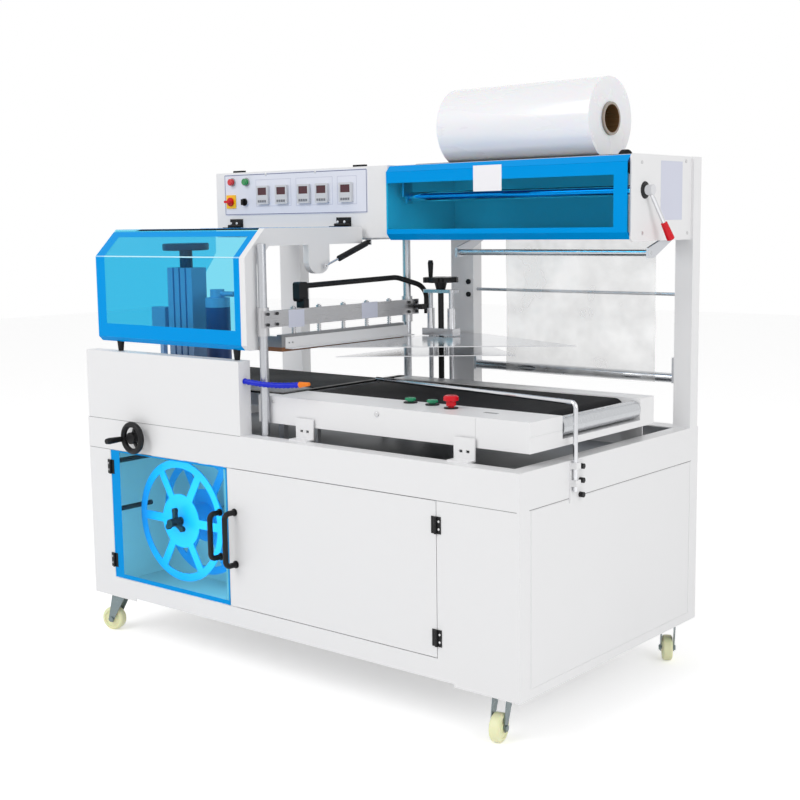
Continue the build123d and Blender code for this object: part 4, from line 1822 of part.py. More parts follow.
def electrics_board():
    """Mounting plate on two uprights with two rows of contactors and relays."""
    z0 = CABINET_BOTTOM + TOE_NOTCH + SHEET
    board = block(BOARD_X0, BOARD_X1, BOARD_Y, BOARD_Y + SHEET, z0, LOWER_DECK_Z)
    pitch = (BOARD_X1 - BOARD_X0) / GEAR_COUNT
    for z in (BOARD_Z0, BOARD_Z1 - GEAR_HEIGHT):
        for i in range(GEAR_COUNT):
            x = BOARD_X0 + pitch * i + (pitch - GEAR_WIDTH) / 2
            board += block(x, x + GEAR_WIDTH, BOARD_Y - GEAR_DEPTH, BOARD_Y, z, z + GEAR_HEIGHT)
    return board


def cabinet():
    """Sub-parts of the cabinet and the frame above it."""
    return {
        "cabinet_panels": [front_panel(), right_side_panel(), left_side_panel(), back_panel(), base_pan(),
                           rim_flange()],
        "inner_frame": [door_mullion(), lower_deck(), electrics_board()] + inner_walls(),
        "left_housing": left_housing(),
        "head_frame": [post(LEFT_POST), post(MIDDLE_POST), post(RIGHT_POST), control_box(), film_end_plate()]
        + film_box_frame(),
        "roller_bearings": roller_bearers() + [lever_bush(), pinch_hanger()] + idler_arms()
        + low_roller_bearings() + crank_bearing(),
        "steel_guides": columns() + lift_frame() + [reel_shaft(), film_rod(), strut_bracket()]
        + waste_bars() + [castor_fixed(*place[1:]) for place in CASTOR_PLACES],
        "fixed_hinges": hinge_pair(False) + door_hinges(True, False) + door_hinges(False, False)
        + post_bolts() + guide_knobs() + button_bezels(),
        "left_door": door_panel(True), "left_door_fittings": door_hinges(True, True) + [door_handle(True)],
        "right_door": door_panel(False), "right_door_fittings": door_hinges(False, True) + [door_handle(False)],
        "reel_flanges": reel_flanges() + [reel_core()], "reel_knob": reel_knob(),
        "hand_crank": [crank_wheel(), crank_grip()],
    }


def castors():
    made = {}
    for name, x, y, angle in CASTOR_PLACES:
        made["castor_fork_" + name] = castor_fork(x, y, angle)
        made["castor_wheel_" + name] = castor_wheel(x, y, angle)
    return made


def controls():
    """Sub-parts of the control panel and the buttons on the conveyor."""
    return {
        "control_panel": [control_panel()] + panel_bezels(),
        "timer_modules": [meter(x) for x in METER_XS],
        "panel_lamps": [lamp(RED_LAMP), lamp(GREEN_LAMP)],
        "main_switch": main_switch(), "selector_switch": selector(),
        "start_button": green_button(BUTTON_XS[0]), "jog_button": green_button(BUTTON_XS[1]),
        "stop_button": stop_button(),
    }


def film_path():
    """Sub-parts that hold, guide and open the film."""
    return {
        "film_cover": film_cover(), "film_roll": [film_roll(), film_core()],
        "feed_roller_front": front_feed_roller(), "feed_roller_rear": feed_roller(FEED_ROLLER_YS[1]),
        "lever_hub": [lever_hub(), pinch_shaft()], "lever_grip": lever_grip(),
        "idler_roller": idler_roller(), "low_roller": low_roller(), "film_web": film_web(),
        "film_plates": [lift_carriage(), upper_plate(), lower_plate()] + plate_spacers(),
        "lift_handwheel": [lift_screw(), handwheel(), wheel_grip()],
    }


def sealing():
    """Sub-parts of the guard, the gas strut, the sealing head and its drive."""
    return {
        "guard_cover": guard_cover(), "guard_side_frame": guard_side_frame(),
        "guard_fittings": guard_bumpers() + hinge_pair(True),
        "strut_barrel": strut_barrel(), "strut_rod": strut_rod(),
        "seal_beam": [seal_beam()] + beam_bolts() + seal_springs(), "seal_bar": [seal_bar(), film_channel()],
        "seal_face": seal_face(), "head_conduit": [head_conduit()] + conduit_clips(),
        "lower_jaw": [lower_jaw(), jaw_pad()],
        "drive_unit": [drive_column(), drive_motor(), sensor_box(), drive_disc()],
    }


def conveyors():
    return {
        "conveyor_frame": [conveyor_front_box(), conveyor_rear_box()] + conveyor_channel()
        + outfeed_frame() + foot_brackets() + [guide_bracket()],
        "conveyor_belts": [infeed_belt(), outfeed_belt()],
        "infeed_head_roller": conveyor_roller(HEAD_ROLLER_X, BELT_Y0, BELT_Y1),
        "infeed_tail_roller": conveyor_roller(TAIL_ROLLER_X, BELT_Y0, BELT_Y1),
        "end_roller": conveyor_roller(END_ROLLER_X, BELT_Y0, BELT_Y1),
        "outfeed_roller": outfeed_roller(),
        "guide_rod": guide_rod(), "air_hose": [air_hose(), air_nozzle()],
    }


def outfeed_roller():
    """Drive roller of the discharge belt, between its side rails."""
    x = OUT_ROLLER_XS[1]
    face = rod_y(x, OUT_Y0 + OUT_RAIL + SEAT_GAP, OUT_Y1 - SEAT_GAP, ROLLER_Z, ROLLER_R)
    return face + rod_y(x, OUT_Y0, OUT_Y1 + OUT_RAIL, ROLLER_Z, ROLLER_JOURNAL_R)


def write(name, shape):
    """Writes one sub-part, moved so that the floor under the outer box's middle is the origin."""
    solids = shape if isinstance(shape, list) else [shape]
    loose = [solid for item in solids for solid in item.solids()]
    placed = [Pos(-BOX_CENTRE_X, -BOX_CENTRE_Y, 0) * solid for solid in loose]
    export_step(Compound(children=placed), "parts/" + name + ".step")


os.makedirs("parts", exist_ok=True)
for group in (cabinet(), castors(), controls(), film_path(), sealing(), conveyors()):
    for node_name, node_shape in group.items():
        write(node_name, node_shape)
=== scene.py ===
# %% [markdown]
# # L bar sealer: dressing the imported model
# The solids come from CAD with their true sizes, and this lesson gives them
# their looks: paint, tinted acrylic, brushed steel, belts, film and fittings.
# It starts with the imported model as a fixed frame.

# %% Frame
import math

import bmesh
import bpy
from mathutils import Matrix, Vector, noise


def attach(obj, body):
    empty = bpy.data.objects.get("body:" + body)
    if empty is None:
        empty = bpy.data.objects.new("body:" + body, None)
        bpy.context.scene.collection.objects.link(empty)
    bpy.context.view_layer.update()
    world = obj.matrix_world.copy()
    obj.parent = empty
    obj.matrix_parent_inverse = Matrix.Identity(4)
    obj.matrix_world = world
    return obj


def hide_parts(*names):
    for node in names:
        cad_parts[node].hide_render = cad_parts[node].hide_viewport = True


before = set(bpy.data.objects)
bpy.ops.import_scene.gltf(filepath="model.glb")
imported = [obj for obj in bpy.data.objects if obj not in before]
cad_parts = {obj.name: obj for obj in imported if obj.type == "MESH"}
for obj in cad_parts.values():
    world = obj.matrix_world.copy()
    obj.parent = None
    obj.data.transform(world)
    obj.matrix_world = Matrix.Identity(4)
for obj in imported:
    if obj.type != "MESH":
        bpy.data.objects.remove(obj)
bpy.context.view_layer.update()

# %% [markdown]
# The machine was measured from the cabinet's left front corner on the floor,
# in millimetres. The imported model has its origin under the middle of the
# machine, so one small function turns a drawing place into a scene place.

# %% Places
CENTRE_X, CENTRE_Y = 838.0, 405.0
MM = 0.001
ROOT = "machine"


def place(x, y, z):
    """A drawing place in millimetres as a scene place in metres."""
    return Vector(((x - CENTRE_X) * MM, (y - CENTRE_Y) * MM, z * MM))


print("cabinet corner in the scene", [round(v, 3) for v in place(0, 0, 0)])

# %% [markdown]
# The camera stands at the front right of the machine, slightly above the
# conveyor, and looks a little down. Its place and turn were worked out from
# corners of the cabinet that show in the photograph.

# %% Camera
camera = bpy.data.objects.new("camera", bpy.data.cameras.new("camera"))
bpy.context.scene.collection.objects.link(camera)
CAMERA_PLACE = place(3393.1, -2520.4, 1293.9)
CAMERA_LENS = 59.15
CAMERA_YAW, CAMERA_TILT, CAMERA_ROLL = 39.916, 82.336, -0.764
camera.data.lens = CAMERA_LENS
camera.data.sensor_width = 36
camera.data.clip_end = 50
camera.matrix_world = (
    Matrix.Translation(CAMERA_PLACE)
    @ Matrix.Rotation(math.radians(CAMERA_YAW), 4, "Z")
    @ Matrix.Rotation(math.radians(CAMERA_TILT), 4, "X")
    @ Matrix.Rotation(math.radians(CAMERA_ROLL), 4, "Z"))
bpy.context.scene.camera = camera
bpy.context.scene.view_settings.view_transform = "Standard"
print("camera at", [round(v, 2) for v in CAMERA_PLACE])

# %% [markdown]
# A studio shot on white: an even dome of light, one large soft lamp high on
# the left of the camera and a weaker one on the right. A small third lamp
# lights the reel behind the tinted door, which the dome hardly reaches. The
# dome is brighter for the camera, for reflections and through glass, so the
# background is white while the object keeps its colours.

# %% World and lamps
DOME_LIGHT, DOME_SEEN = 0.62, 1.0
WHITE_LIGHT = (1, 1, 1, 1)
world = bpy.data.worlds.new("studio")
bpy.context.scene.world = world
world.use_nodes = True
nodes, links = world.node_tree.nodes, world.node_tree.links
background = nodes["Background"]
background.inputs["Color"].default_value = WHITE_LIGHT


def any_ray(tree, *kinds):
    """1 for rays of any of these kinds, 0 for the rest."""
    path = tree.nodes.new("ShaderNodeLightPath")
    found = path.outputs[kinds[0]]
    for kind in kinds[1:]:
        either = tree.nodes.new("ShaderNodeMath")
        either.operation = "MAXIMUM"
        tree.links.new(found, either.inputs[0])
        tree.links.new(path.outputs[kind], either.inputs[1])
        found = either.outputs[0]
    return found


SEEN_RAYS = ("Is Camera Ray", "Is Glossy Ray", "Is Transmission Ray")
strength = nodes.new("ShaderNodeMapRange")
strength.inputs["To Min"].default_value = DOME_LIGHT
strength.inputs["To Max"].default_value = DOME_SEEN
links.new(any_ray(world.node_tree, *SEEN_RAYS), strength.inputs["Value"])
links.new(strength.outputs["Result"], background.inputs["Strength"])


def lamp(name, at, aim, size, watts):
    """Square area lamp at one place, turned towards another."""
    light = bpy.data.objects.new(name, bpy.data.lights.new(name, "AREA"))
    light.data.size = size
    light.data.energy = watts
    turn = (at - aim).to_track_quat("Z", "Y").to_matrix().to_4x4()
    light.matrix_world = Matrix.Translation(at) @ turn
    bpy.context.scene.collection.objects.link(light)
    print("lamp", name, watts, "W")


MACHINE_MIDDLE = Vector((0, 0, 0.8))
lamp("key", Vector((-1.2, -4.2, 4.2)), MACHINE_MIDDLE, size=3.0, watts=95)
lamp("fill", Vector((4.5, -0.8, 2.6)), MACHINE_MIDDLE, size=2.5, watts=48)
lamp("reel compartment", place(370, 25, 400), place(370, 800, 360), size=0.42, watts=1.3)

# %% [markdown]
# The floor is a wide pale sheet. It only has to catch the soft shadow under
# the cabinet, so it is one flat face with a pale, dull material. Away from
# the machine it should be as white as the background, so it gets a little
# light of its own that only the camera, mirrors and glass see.


# %% Floor
def shader(name, **sockets):
    """A material with one Principled BSDF; spaces in socket names are written as underscores."""
    made = bpy.data.materials.new(name)
    made.use_nodes = True
    body = made.node_tree.nodes["Principled BSDF"]
    for socket, value in sockets.items():
        body.inputs[socket.replace("_", " ")].default_value = value
    return made


def new_object(bm, name, material):
    """Turns a finished bmesh into an object with one material."""
    mesh = bpy.data.meshes.new(name)
    bm.to_mesh(mesh)
    bm.free()
    mesh.materials.append(material)
    made = bpy.data.objects.new(name, mesh)
    bpy.context.scene.collection.objects.link(made)
    return made


FLOOR_HALF = 14.0
FLOOR_SEEN = 0.33
floor_paint = shader("floor paper", Base_Color=WHITE_LIGHT, Roughness=0.9, Specular_IOR_Level=0.1,
                     Emission_Color=WHITE_LIGHT)
floor_tree = floor_paint.node_tree
glow = floor_tree.nodes.new("ShaderNodeMath")
glow.operation = "MULTIPLY"
glow.inputs[1].default_value = FLOOR_SEEN
floor_tree.links.new(any_ray(floor_tree, *SEEN_RAYS), glow.inputs[0])
floor_tree.links.new(glow.outputs[0], floor_tree.nodes["Principled BSDF"].inputs["Emission Strength"])
floor_mesh = bmesh.new()
bmesh.ops.create_grid(floor_mesh, x_segments=1, y_segments=1, size=FLOOR_HALF)
floor = new_object(floor_mesh, "floor", floor_paint)
print("floor", FLOOR_HALF * 2, "m wide")

# %% [markdown]
# Real surfaces are never one flat value. Two effects are shared by many
# finishes here, so each is a node group made once. Sprayed paint and moulded
# plastic have a fine orange-peel skin and a slow change of gloss, and worked
# metal has fine lines along one direction that break up its shine.

# %% Shared effects
SKIN_SCALE = 700.0
SKIN_GLOSS, GRAIN_GLOSS = (0.3, 0.42), (0.22, 0.4)
NOISE_LOW, NOISE_HIGH = 0.3, 0.7  # nearly all of a noise texture's values lie between these


def group(name, inputs, outputs):
    """An empty shader node group with float inputs and outputs."""
    tree = bpy.data.node_groups.new(name, "ShaderNodeTree")
    for label, value in inputs:
        socket = tree.interface.new_socket(label, in_out="INPUT", socket_type="NodeSocketFloat")
        socket.default_value = value
    for label in outputs:
        tree.interface.new_socket(label, in_out="OUTPUT", socket_type="NodeSocketFloat")
    return tree, tree.nodes.new("NodeGroupInput"), tree.nodes.new("NodeGroupOutput")


def noise_node(tree, scale, detail=3.0):
    """A noise texture node."""
    made = tree.nodes.new("ShaderNodeTexNoise")
    made.inputs["Scale"].default_value = scale
    made.inputs["Detail"].default_value = detail
    return made


def ranged(tree, source, low, high, from_low=0.0, from_high=1.0):
    """Map Range node that turns a source socket into low to high."""
    made = tree.nodes.new("ShaderNodeMapRange")
    for label, value in (("From Min", from_low), ("From Max", from_high), ("To Min", low), ("To Max", high)):
        if isinstance(value, (int, float)):
            made.inputs[label].default_value = value
        else:
            tree.links.new(value, made.inputs[label])
    tree.links.new(source, made.inputs["Value"])
    return made.outputs["Result"]


def skin_group():
    """Height of sprayed or moulded skin, and a slow change of gloss."""
    tree, took, gave = group(
        "sprayed skin",
        [("Scale", SKIN_SCALE), ("Gloss Low", SKIN_GLOSS[0]), ("Gloss High", SKIN_GLOSS[1])],
        ["Height", "Roughness"])
    where = tree.nodes.new("ShaderNodeTexCoord")
    peel = noise_node(tree, SKIN_SCALE, detail=2.0)
    slow = noise_node(tree, 3.0)
    tree.links.new(where.outputs["Object"], peel.inputs["Vector"])
    tree.links.new(where.outputs["Object"], slow.inputs["Vector"])
    tree.links.new(took.outputs["Scale"], peel.inputs["Scale"])
    tree.links.new(peel.outputs["Fac"], gave.inputs["Height"])
    gloss = ranged(tree, slow.outputs["Fac"], took.outputs["Gloss Low"], took.outputs["Gloss High"],
                   NOISE_LOW, NOISE_HIGH)
    tree.links.new(gloss, gave.inputs["Roughness"])
    return tree


def grain_group():
    """Fine lines of ground metal; the stretch of each axis sets their direction."""
    tree, took, gave = group(
        "ground grain",
        [("Along X", 40.0), ("Along Y", 40.0), ("Along Z", 900.0),
         ("Gloss Low", GRAIN_GLOSS[0]), ("Gloss High", GRAIN_GLOSS[1])],
        ["Height", "Roughness"])
    where = tree.nodes.new("ShaderNodeTexCoord")
    stretch = tree.nodes.new("ShaderNodeVectorMath")
    stretch.operation = "MULTIPLY"
    axes = tree.nodes.new("ShaderNodeCombineXYZ")
    for axis in "XYZ":
        tree.links.new(took.outputs["Along " + axis], axes.inputs[axis])
    tree.links.new(where.outputs["Object"], stretch.inputs[0])
    tree.links.new(axes.outputs["Vector"], stretch.inputs[1])
    grain = noise_node(tree, 1.0, detail=4.0)
    tree.links.new(stretch.outputs["Vector"], grain.inputs["Vector"])
    tree.links.new(grain.outputs["Fac"], gave.inputs["Height"])
    gloss = ranged(tree, grain.outputs["Fac"], took.outputs["Gloss Low"], took.outputs["Gloss High"],
                   NOISE_LOW, NOISE_HIGH)
    tree.links.new(gloss, gave.inputs["Roughness"])
    return tree


SKIN, GRAIN = skin_group(), grain_group()
print("shared effects", [tree.name for tree in (SKIN, GRAIN)])

# %% [markdown]
# Each finish is its own material, with a shared effect at its own scale. Two
# makers keep the list short: one for painted and moulded finishes, one for
# worked metal. Colours are written as the screen shows them, 0 to 255, and a
# small function turns them into the straight scale that a shader works with.


# %% Makers of finishes
def linear(level):
    """One screen level, 0 to 255, on the shader's straight scale, by the sRGB curve."""
    share = level / 255
    return share / 12.92 if level < 10.5 else ((share + 0.055) / 1.055) ** 2.4


def colour(red, green, blue):
    """A screen colour as a shader's colour."""
    return (linear(red), linear(green), linear(blue), 1.0)


def with_group(made, tree, bump, depth, **values):
    """Puts a shared effect into a material: its roughness, and its height as a bump of depth metres."""
    material_nodes, material_links = made.node_tree.nodes, made.node_tree.links
    body = material_nodes["Principled BSDF"]
    effect = material_nodes.new("ShaderNodeGroup")
    effect.node_tree = tree
    for label, value in values.items():
        effect.inputs[label.replace("_", " ")].default_value = value
    relief = material_nodes.new("ShaderNodeBump")
    relief.inputs["Strength"].default_value = bump
    relief.inputs["Distance"].default_value = depth
    material_links.new(effect.outputs["Height"], relief.inputs["Height"])
    material_links.new(relief.outputs["Normal"], body.inputs["Normal"])
    material_links.new(effect.outputs["Roughness"], body.inputs["Roughness"])
    return made


def coated(name, tone, bump=0.05, depth=0.0002, scale=SKIN_SCALE, gloss=SKIN_GLOSS, **sockets):
    """A painted or moulded finish: screen colour, height and scale of its skin, least and most roughness."""
    return with_group(shader(name, Base_Color=colour(*tone), **sockets), SKIN, bump, depth,
                      Scale=scale, Gloss_Low=gloss[0], Gloss_High=gloss[1])


def worked(name, tone, bump, depth, grain, gloss=GRAIN_GLOSS, metallic=1.0, **sockets):
    """A worked metal; grain says how fine its lines are along X, Y and Z."""
    return with_group(shader(name, Base_Color=colour(*tone), Metallic=metallic, **sockets), GRAIN, bump, depth,
                      Along_X=grain[0], Along_Y=grain[1], Along_Z=grain[2],
                      Gloss_Low=gloss[0], Gloss_High=gloss[1])


print("white as a shader's colour", colour(255, 255, 255))

# %% [markdown]
# The cabinet is a plain white powder coat with a fine peel. Plastics differ
# by how sharp their shine is: buttons are glossy, grips and housings half
# dull, and the belts are nearly dull rubber. A lower specular level keeps
# dark and saturated plastics from turning pale under the white dome.

# %% Paint and plastic
white_paint = coated("white powder coat", (234, 234, 235), 0.12, 0.0004, scale=900.0, gloss=(0.32, 0.42))
inner_paint = coated("inner grey paint", (150, 154, 160), 0.12, 0.0004, gloss=(0.45, 0.6))
black_plastic = coated("black fittings", (20, 20, 22), 0.25, 0.0003, scale=1500.0, gloss=(0.32, 0.48),
                       Specular_IOR_Level=0.25)
belt_rubber = coated("belt rubber", (30, 30, 32), 0.6, 0.0006, scale=1200.0, gloss=(0.6, 0.8),
                     Specular_IOR_Level=0.12)
red_plastic = coated("red plastic", (212, 12, 32), 0.1, gloss=(0.15, 0.25), Specular_IOR_Level=0.3)
green_plastic = coated("green plastic", (20, 135, 92), 0.1, gloss=(0.2, 0.3))
nylon = coated("cast nylon", (240, 241, 196), 0.2, 0.0003, gloss=(0.3, 0.45),
               Subsurface_Weight=0.15, Subsurface_Scale=0.004)
hose_plastic = coated("blue hose beads", (10, 34, 196), 0.1, gloss=(0.2, 0.3), Specular_IOR_Level=0.25)
panel_print = coated("panel print", (226, 229, 240), gloss=(0.2, 0.28))
seal_fibre = coated("sealing fibre", (128, 84, 52), 0.4, 0.0004, scale=500.0, gloss=(0.5, 0.65))
timer_plastic = coated("timer plastic", (206, 208, 212), 0.2, 0.0003, gloss=(0.35, 0.45))
reel_paint = coated("reel plastic", (16, 158, 226), 0.15, 0.0003, gloss=(0.3, 0.4))
blue_paint = coated("blue border", (0, 152, 230), gloss=(0.12, 0.2), Specular_IOR_Level=0.04)
print("painted and moulded finishes made")

# %% [markdown]
# The metals differ in how they were worked. A high number along one axis
# makes many fine lines across it: rollers are turned, so their lines run
# round, the beam is ground along its length, and zinc and castor steel have
# the same small mottle in every direction.

# %% Metals
ground_steel = worked("ground steel", (188, 190, 194), 0.08, 0.0002, grain=(600.0, 600.0, 30.0))
beam_steel = worked("beam steel", (190, 190, 192), 0.1, 0.0002, grain=(500.0, 8.0, 700.0), gloss=(0.25, 0.42))
roller_steel = worked("roller steel", (196, 198, 201), 0.05, 0.0002, grain=(30.0, 500.0, 30.0), gloss=(0.18, 0.3))
chrome = worked("bright steel", (216, 217, 220), 0.02, 0.0001, grain=(80.0, 80.0, 80.0), gloss=(0.06, 0.12))
anodised = worked("anodised aluminium", (205, 207, 211), 0.08, 0.0002, grain=(30.0, 30.0, 600.0),
                  gloss=(0.32, 0.45), Specular_IOR_Level=0.08)
jaw_aluminium = worked("jaw aluminium", (150, 151, 153), 0.08, 0.0002, grain=(30.0, 30.0, 600.0),
                       gloss=(0.35, 0.5), metallic=0.9)
drive_metal = worked("drive castings", (142, 180, 220), 0.08, 0.0002, grain=(60.0, 60.0, 8.0),
                     gloss=(0.35, 0.5), metallic=0.3)
plate_steel = worked("plate steel", (208, 209, 212), 0.03, 0.0001, grain=(12.0, 500.0, 12.0), gloss=(0.1, 0.2))
fork_steel = worked("castor steel", (128, 140, 142), 0.1, 0.0003, grain=(90.0, 90.0, 90.0),
                    gloss=(0.25, 0.45), metallic=0.85)
zinc = worked("zinc plate", (205, 205, 206), 0.1, 0.0003, grain=(90.0, 90.0, 90.0), gloss=(0.2, 0.42))
print("metals made")

# %% [markdown]
# Tinted acrylic and film are see-through, each in its own way. Acrylic takes
# the Principled BSDF's transmission, because light bends and colours inside
# it. A thin sheet also lets lamplight straight through to what lies behind,
# so shadow and bounce rays find it clear. Film is far too thin to bend light,
# so it uses alpha alone: a thin veil with a hard shine, whose grey is painted
# darker and paler over the sheet as shade and light on its creases. On the
# roll the same film is a milky solid with fine winding lines.


# %% See-through finishes
def tinted_sheet(name, tint):
    """Clear acrylic in one tint; its colour counts twice, once on each face of the sheet."""
    made = coated(name, tint, 0.02, 0.0001, scale=60.0, gloss=(0.01, 0.04), IOR=1.12, Transmission_Weight=1.0)
    tree = made.node_tree
    clear = tree.nodes.new("ShaderNodeMath")
    clear.operation = "SUBTRACT"
    clear.inputs[0].default_value = 1.0
    tree.links.new(any_ray(tree, "Is Shadow Ray", "Is Diffuse Ray"), clear.inputs[1])
    tree.links.new(clear.outputs[0], tree.nodes["Principled BSDF"].inputs["Alpha"])
    return made


acrylic = tinted_sheet("blue acrylic", (126, 219, 242))
cover_acrylic = tinted_sheet("deep blue acrylic", (40, 194, 244))
film_clear = coated("clear film", (244, 246, 250), 0.5, 0.003, scale=9.0, gloss=(0.08, 0.2),
                    Alpha=0.4, Specular_IOR_Level=0.8)
# The veil's grey follows the skin's height: painted shade and painted light on its creases.
VEIL_PAINTED_SHADE, VEIL_PAINTED_LIGHT = 0.56, 1.0
VEIL_FROM, VEIL_TO = 0.4, 0.64  # the span of the skin's height over which the veil's grey changes
film_tree = film_clear.node_tree
film_effect = next(node for node in film_tree.nodes if node.type == "GROUP")
film_tree.links.new(
    ranged(film_tree, film_effect.outputs["Height"], VEIL_PAINTED_SHADE, VEIL_PAINTED_LIGHT, VEIL_FROM, VEIL_TO),
    film_tree.nodes["Principled BSDF"].inputs["Base Color"])
film_wound = worked("wound film", (240, 240, 243), 0.25, 0.002, grain=(2.0, 14.0, 14.0), gloss=(0.12, 0.4),
                    metallic=0.0, Coat_Weight=0.6, Coat_Roughness=0.08,
                    Subsurface_Weight=0.2, Subsurface_Scale=0.02)
print("see-through finishes", [made.name for made in (acrylic, cover_acrylic, film_clear)])

# %% [markdown]
# Some finishes change at a known place on one part: a green lamp beside a
# red one, a black screw on a steel beam. Rather than cut the mesh, a mask
# says where the second colour goes. Two shared groups make such masks: one
# for a box in the model's own space, one for a ring round a line along X.


# %% Masks by place
def compare(tree, a, b, kind="GREATER_THAN"):
    """A Math node on two sockets or numbers."""
    made = tree.nodes.new("ShaderNodeMath")
    made.operation = kind
    for i, value in enumerate((a, b)):
        if isinstance(value, (int, float)):
            made.inputs[i].default_value = value
        else:
            tree.links.new(value, made.inputs[i])
    return made.outputs[0]


def object_axes(tree):
    """A node that gives X, Y and Z in the model's own space."""
    where = tree.nodes.new("ShaderNodeTexCoord")
    split = tree.nodes.new("ShaderNodeSeparateXYZ")
    tree.links.new(where.outputs["Object"], split.inputs[0])
    return split


def box_mask_group():
    """1 inside a box given by its low and high corners."""
    sizes = [(end + " " + axis, 0.0) for end in ("Low", "High") for axis in "XYZ"]
    tree, took, gave = group("inside box", sizes, ["Mask"])
    split = object_axes(tree)
    mask = None
    for axis in "XYZ":
        low_end, high_end = took.outputs["Low " + axis], took.outputs["High " + axis]
        for a, b in ((split.outputs[axis], low_end), (high_end, split.outputs[axis])):
            test = compare(tree, a, b)
            mask = test if mask is None else compare(tree, mask, test, "MULTIPLY")
    tree.links.new(mask, gave.inputs["Mask"])
    return tree


def ring_mask_group():
    """1 nearer than Radius to a line along X through Y and Z."""
    tree, took, gave = group("round a line", [("Y", 0.0), ("Z", 0.0), ("Radius", 0.1)], ["Mask"])
    split = object_axes(tree)
    squares = []
    for axis in "YZ":
        away = compare(tree, split.outputs[axis], took.outputs[axis], "SUBTRACT")
        squares.append(compare(tree, away, away, "MULTIPLY"))
    reach = compare(tree, took.outputs["Radius"], took.outputs["Radius"], "MULTIPLY")
    mask = compare(tree, reach, compare(tree, squares[0], squares[1], "ADD"))
    tree.links.new(mask, gave.inputs["Mask"])
    return tree


BOX_MASK, RING_MASK = box_mask_group(), ring_mask_group()
# A Mix node has a set of sockets for each kind of data, and its colour set is reached by number.
MIX_KINDS = {"Base Color": ("RGBA", 6, 7, 2), "Metallic": ("FLOAT", "A", "B", "Result")}


def paint_where(made, mask_tree, tone, metal=None, **values):
    """Mixes a screen colour, and a metallic value if one is given, into a material where a mask gives 1."""
    tree = made.node_tree
    body = tree.nodes["Principled BSDF"]
    mask = tree.nodes.new("ShaderNodeGroup")
    mask.node_tree = mask_tree
    for label, value in values.items():
        mask.inputs[label.replace("_", " ")].default_value = value
    for socket, value in (("Base Color", colour(*tone)), ("Metallic", metal)):
        if value is None:
            continue
        mix = tree.nodes.new("ShaderNodeMix")
        mix.data_type, first, second, result = MIX_KINDS[socket]
        tree.links.new(mask.outputs["Mask"], mix.inputs[0])
        before = body.inputs[socket].links
        if before:
            tree.links.new(before[0].from_socket, mix.inputs[first])
        else:
            mix.inputs[first].default_value = body.inputs[socket].default_value
        mix.inputs[second].default_value = value
        tree.links.new(mix.outputs[result], body.inputs[socket])


def paint_box(made, low_corner, high_corner, tone, metal=None):
    """Paints one box of the machine, given in drawing millimetres."""
    low_place, high_place = place(*low_corner), place(*high_corner)
    corners = {f"Low_{axis}": low_place[i] for i, axis in enumerate("XYZ")}
    corners.update({f"High_{axis}": high_place[i] for i, axis in enumerate("XYZ")})
    paint_where(made, BOX_MASK, tone, metal, **corners)


print("masks", [tree.name for tree in (BOX_MASK, RING_MASK)])

# %% [markdown]
# On the control panel a box mask colours what stands proud of the panel's
# face: a yellow plate under the main switch and grey rims under the lamps.
# The two lamp lenses are one part, so the right one is painted green, and
# the last stretch of the blue air hose becomes its orange nozzle.

# %% Lamps, switch plate and nozzle
BLACK, RED, GREEN, YELLOW = (22, 23, 25), (205, 15, 30), (20, 140, 70), (250, 195, 20)
RIM_GREY, NOZZLE_ORANGE = (170, 172, 176), (240, 128, 30)
PANEL_Y = 515.5
PANEL_PROUD_Y = (505, PANEL_Y - 0.1)
SWITCH_X, SWITCH_Z, SWITCH_HALF = 135, 1371, 23
LAMP_XS, LAMP_HALF, LAMP_Z = (143, 210), 15, 1435
NOZZLE_X = 904
lamp_glass = coated("lamp lenses", RED, gloss=(0.08, 0.14), Coat_Weight=0.5)
paint_box(lamp_glass, (176, 480, 1400), (260, 530, 1470), GREEN)
paint_box(panel_print, (SWITCH_X - SWITCH_HALF, PANEL_PROUD_Y[0], SWITCH_Z - SWITCH_HALF),
          (SWITCH_X + SWITCH_HALF, PANEL_PROUD_Y[1], SWITCH_Z + SWITCH_HALF), YELLOW)
for lamp_x in LAMP_XS:
    paint_box(panel_print, (lamp_x - LAMP_HALF, PANEL_PROUD_Y[0], LAMP_Z - LAMP_HALF),
              (lamp_x + LAMP_HALF, PANEL_PROUD_Y[1], LAMP_Z + LAMP_HALF), RIM_GREY)
paint_box(hose_plastic, (NOZZLE_X, 0, 820), (NOZZLE_X + 60, 60, 900), NOZZLE_ORANGE)
print("panel and nozzle painted")

# %% [markdown]
# Each of the five meters has a dark display window at its top and a grey
# keypad below. Both stay plain, as a meter that is switched off.

# %% Timer displays
METER_XS, METER_HALF = (288, 374, 472, 550, 651), 19.6
WINDOW_Z, KEYPAD_Z = (1390, 1413.6), (1362, 1388)
WINDOW_RED, KEYPAD_GREY = (74, 26, 36), (120, 122, 128)
for meter_x in METER_XS:
    paint_box(timer_plastic, (meter_x - METER_HALF, 500, WINDOW_Z[0]), (meter_x + METER_HALF, 512, WINDOW_Z[1]),
              WINDOW_RED)
    paint_box(timer_plastic, (meter_x - METER_HALF, 500, KEYPAD_Z[0]), (meter_x + METER_HALF, 506.4, KEYPAD_Z[1]),
              KEYPAD_GREY)
print("meters painted", len(METER_XS))

# %% [markdown]
# More small places change colour in the same way. Each line of the table is
# one box on one finish, with its colour and how metallic it is there. The
# film roll's card core is round, so two ring masks colour it: the tube
# first, then the darker bore inside it.

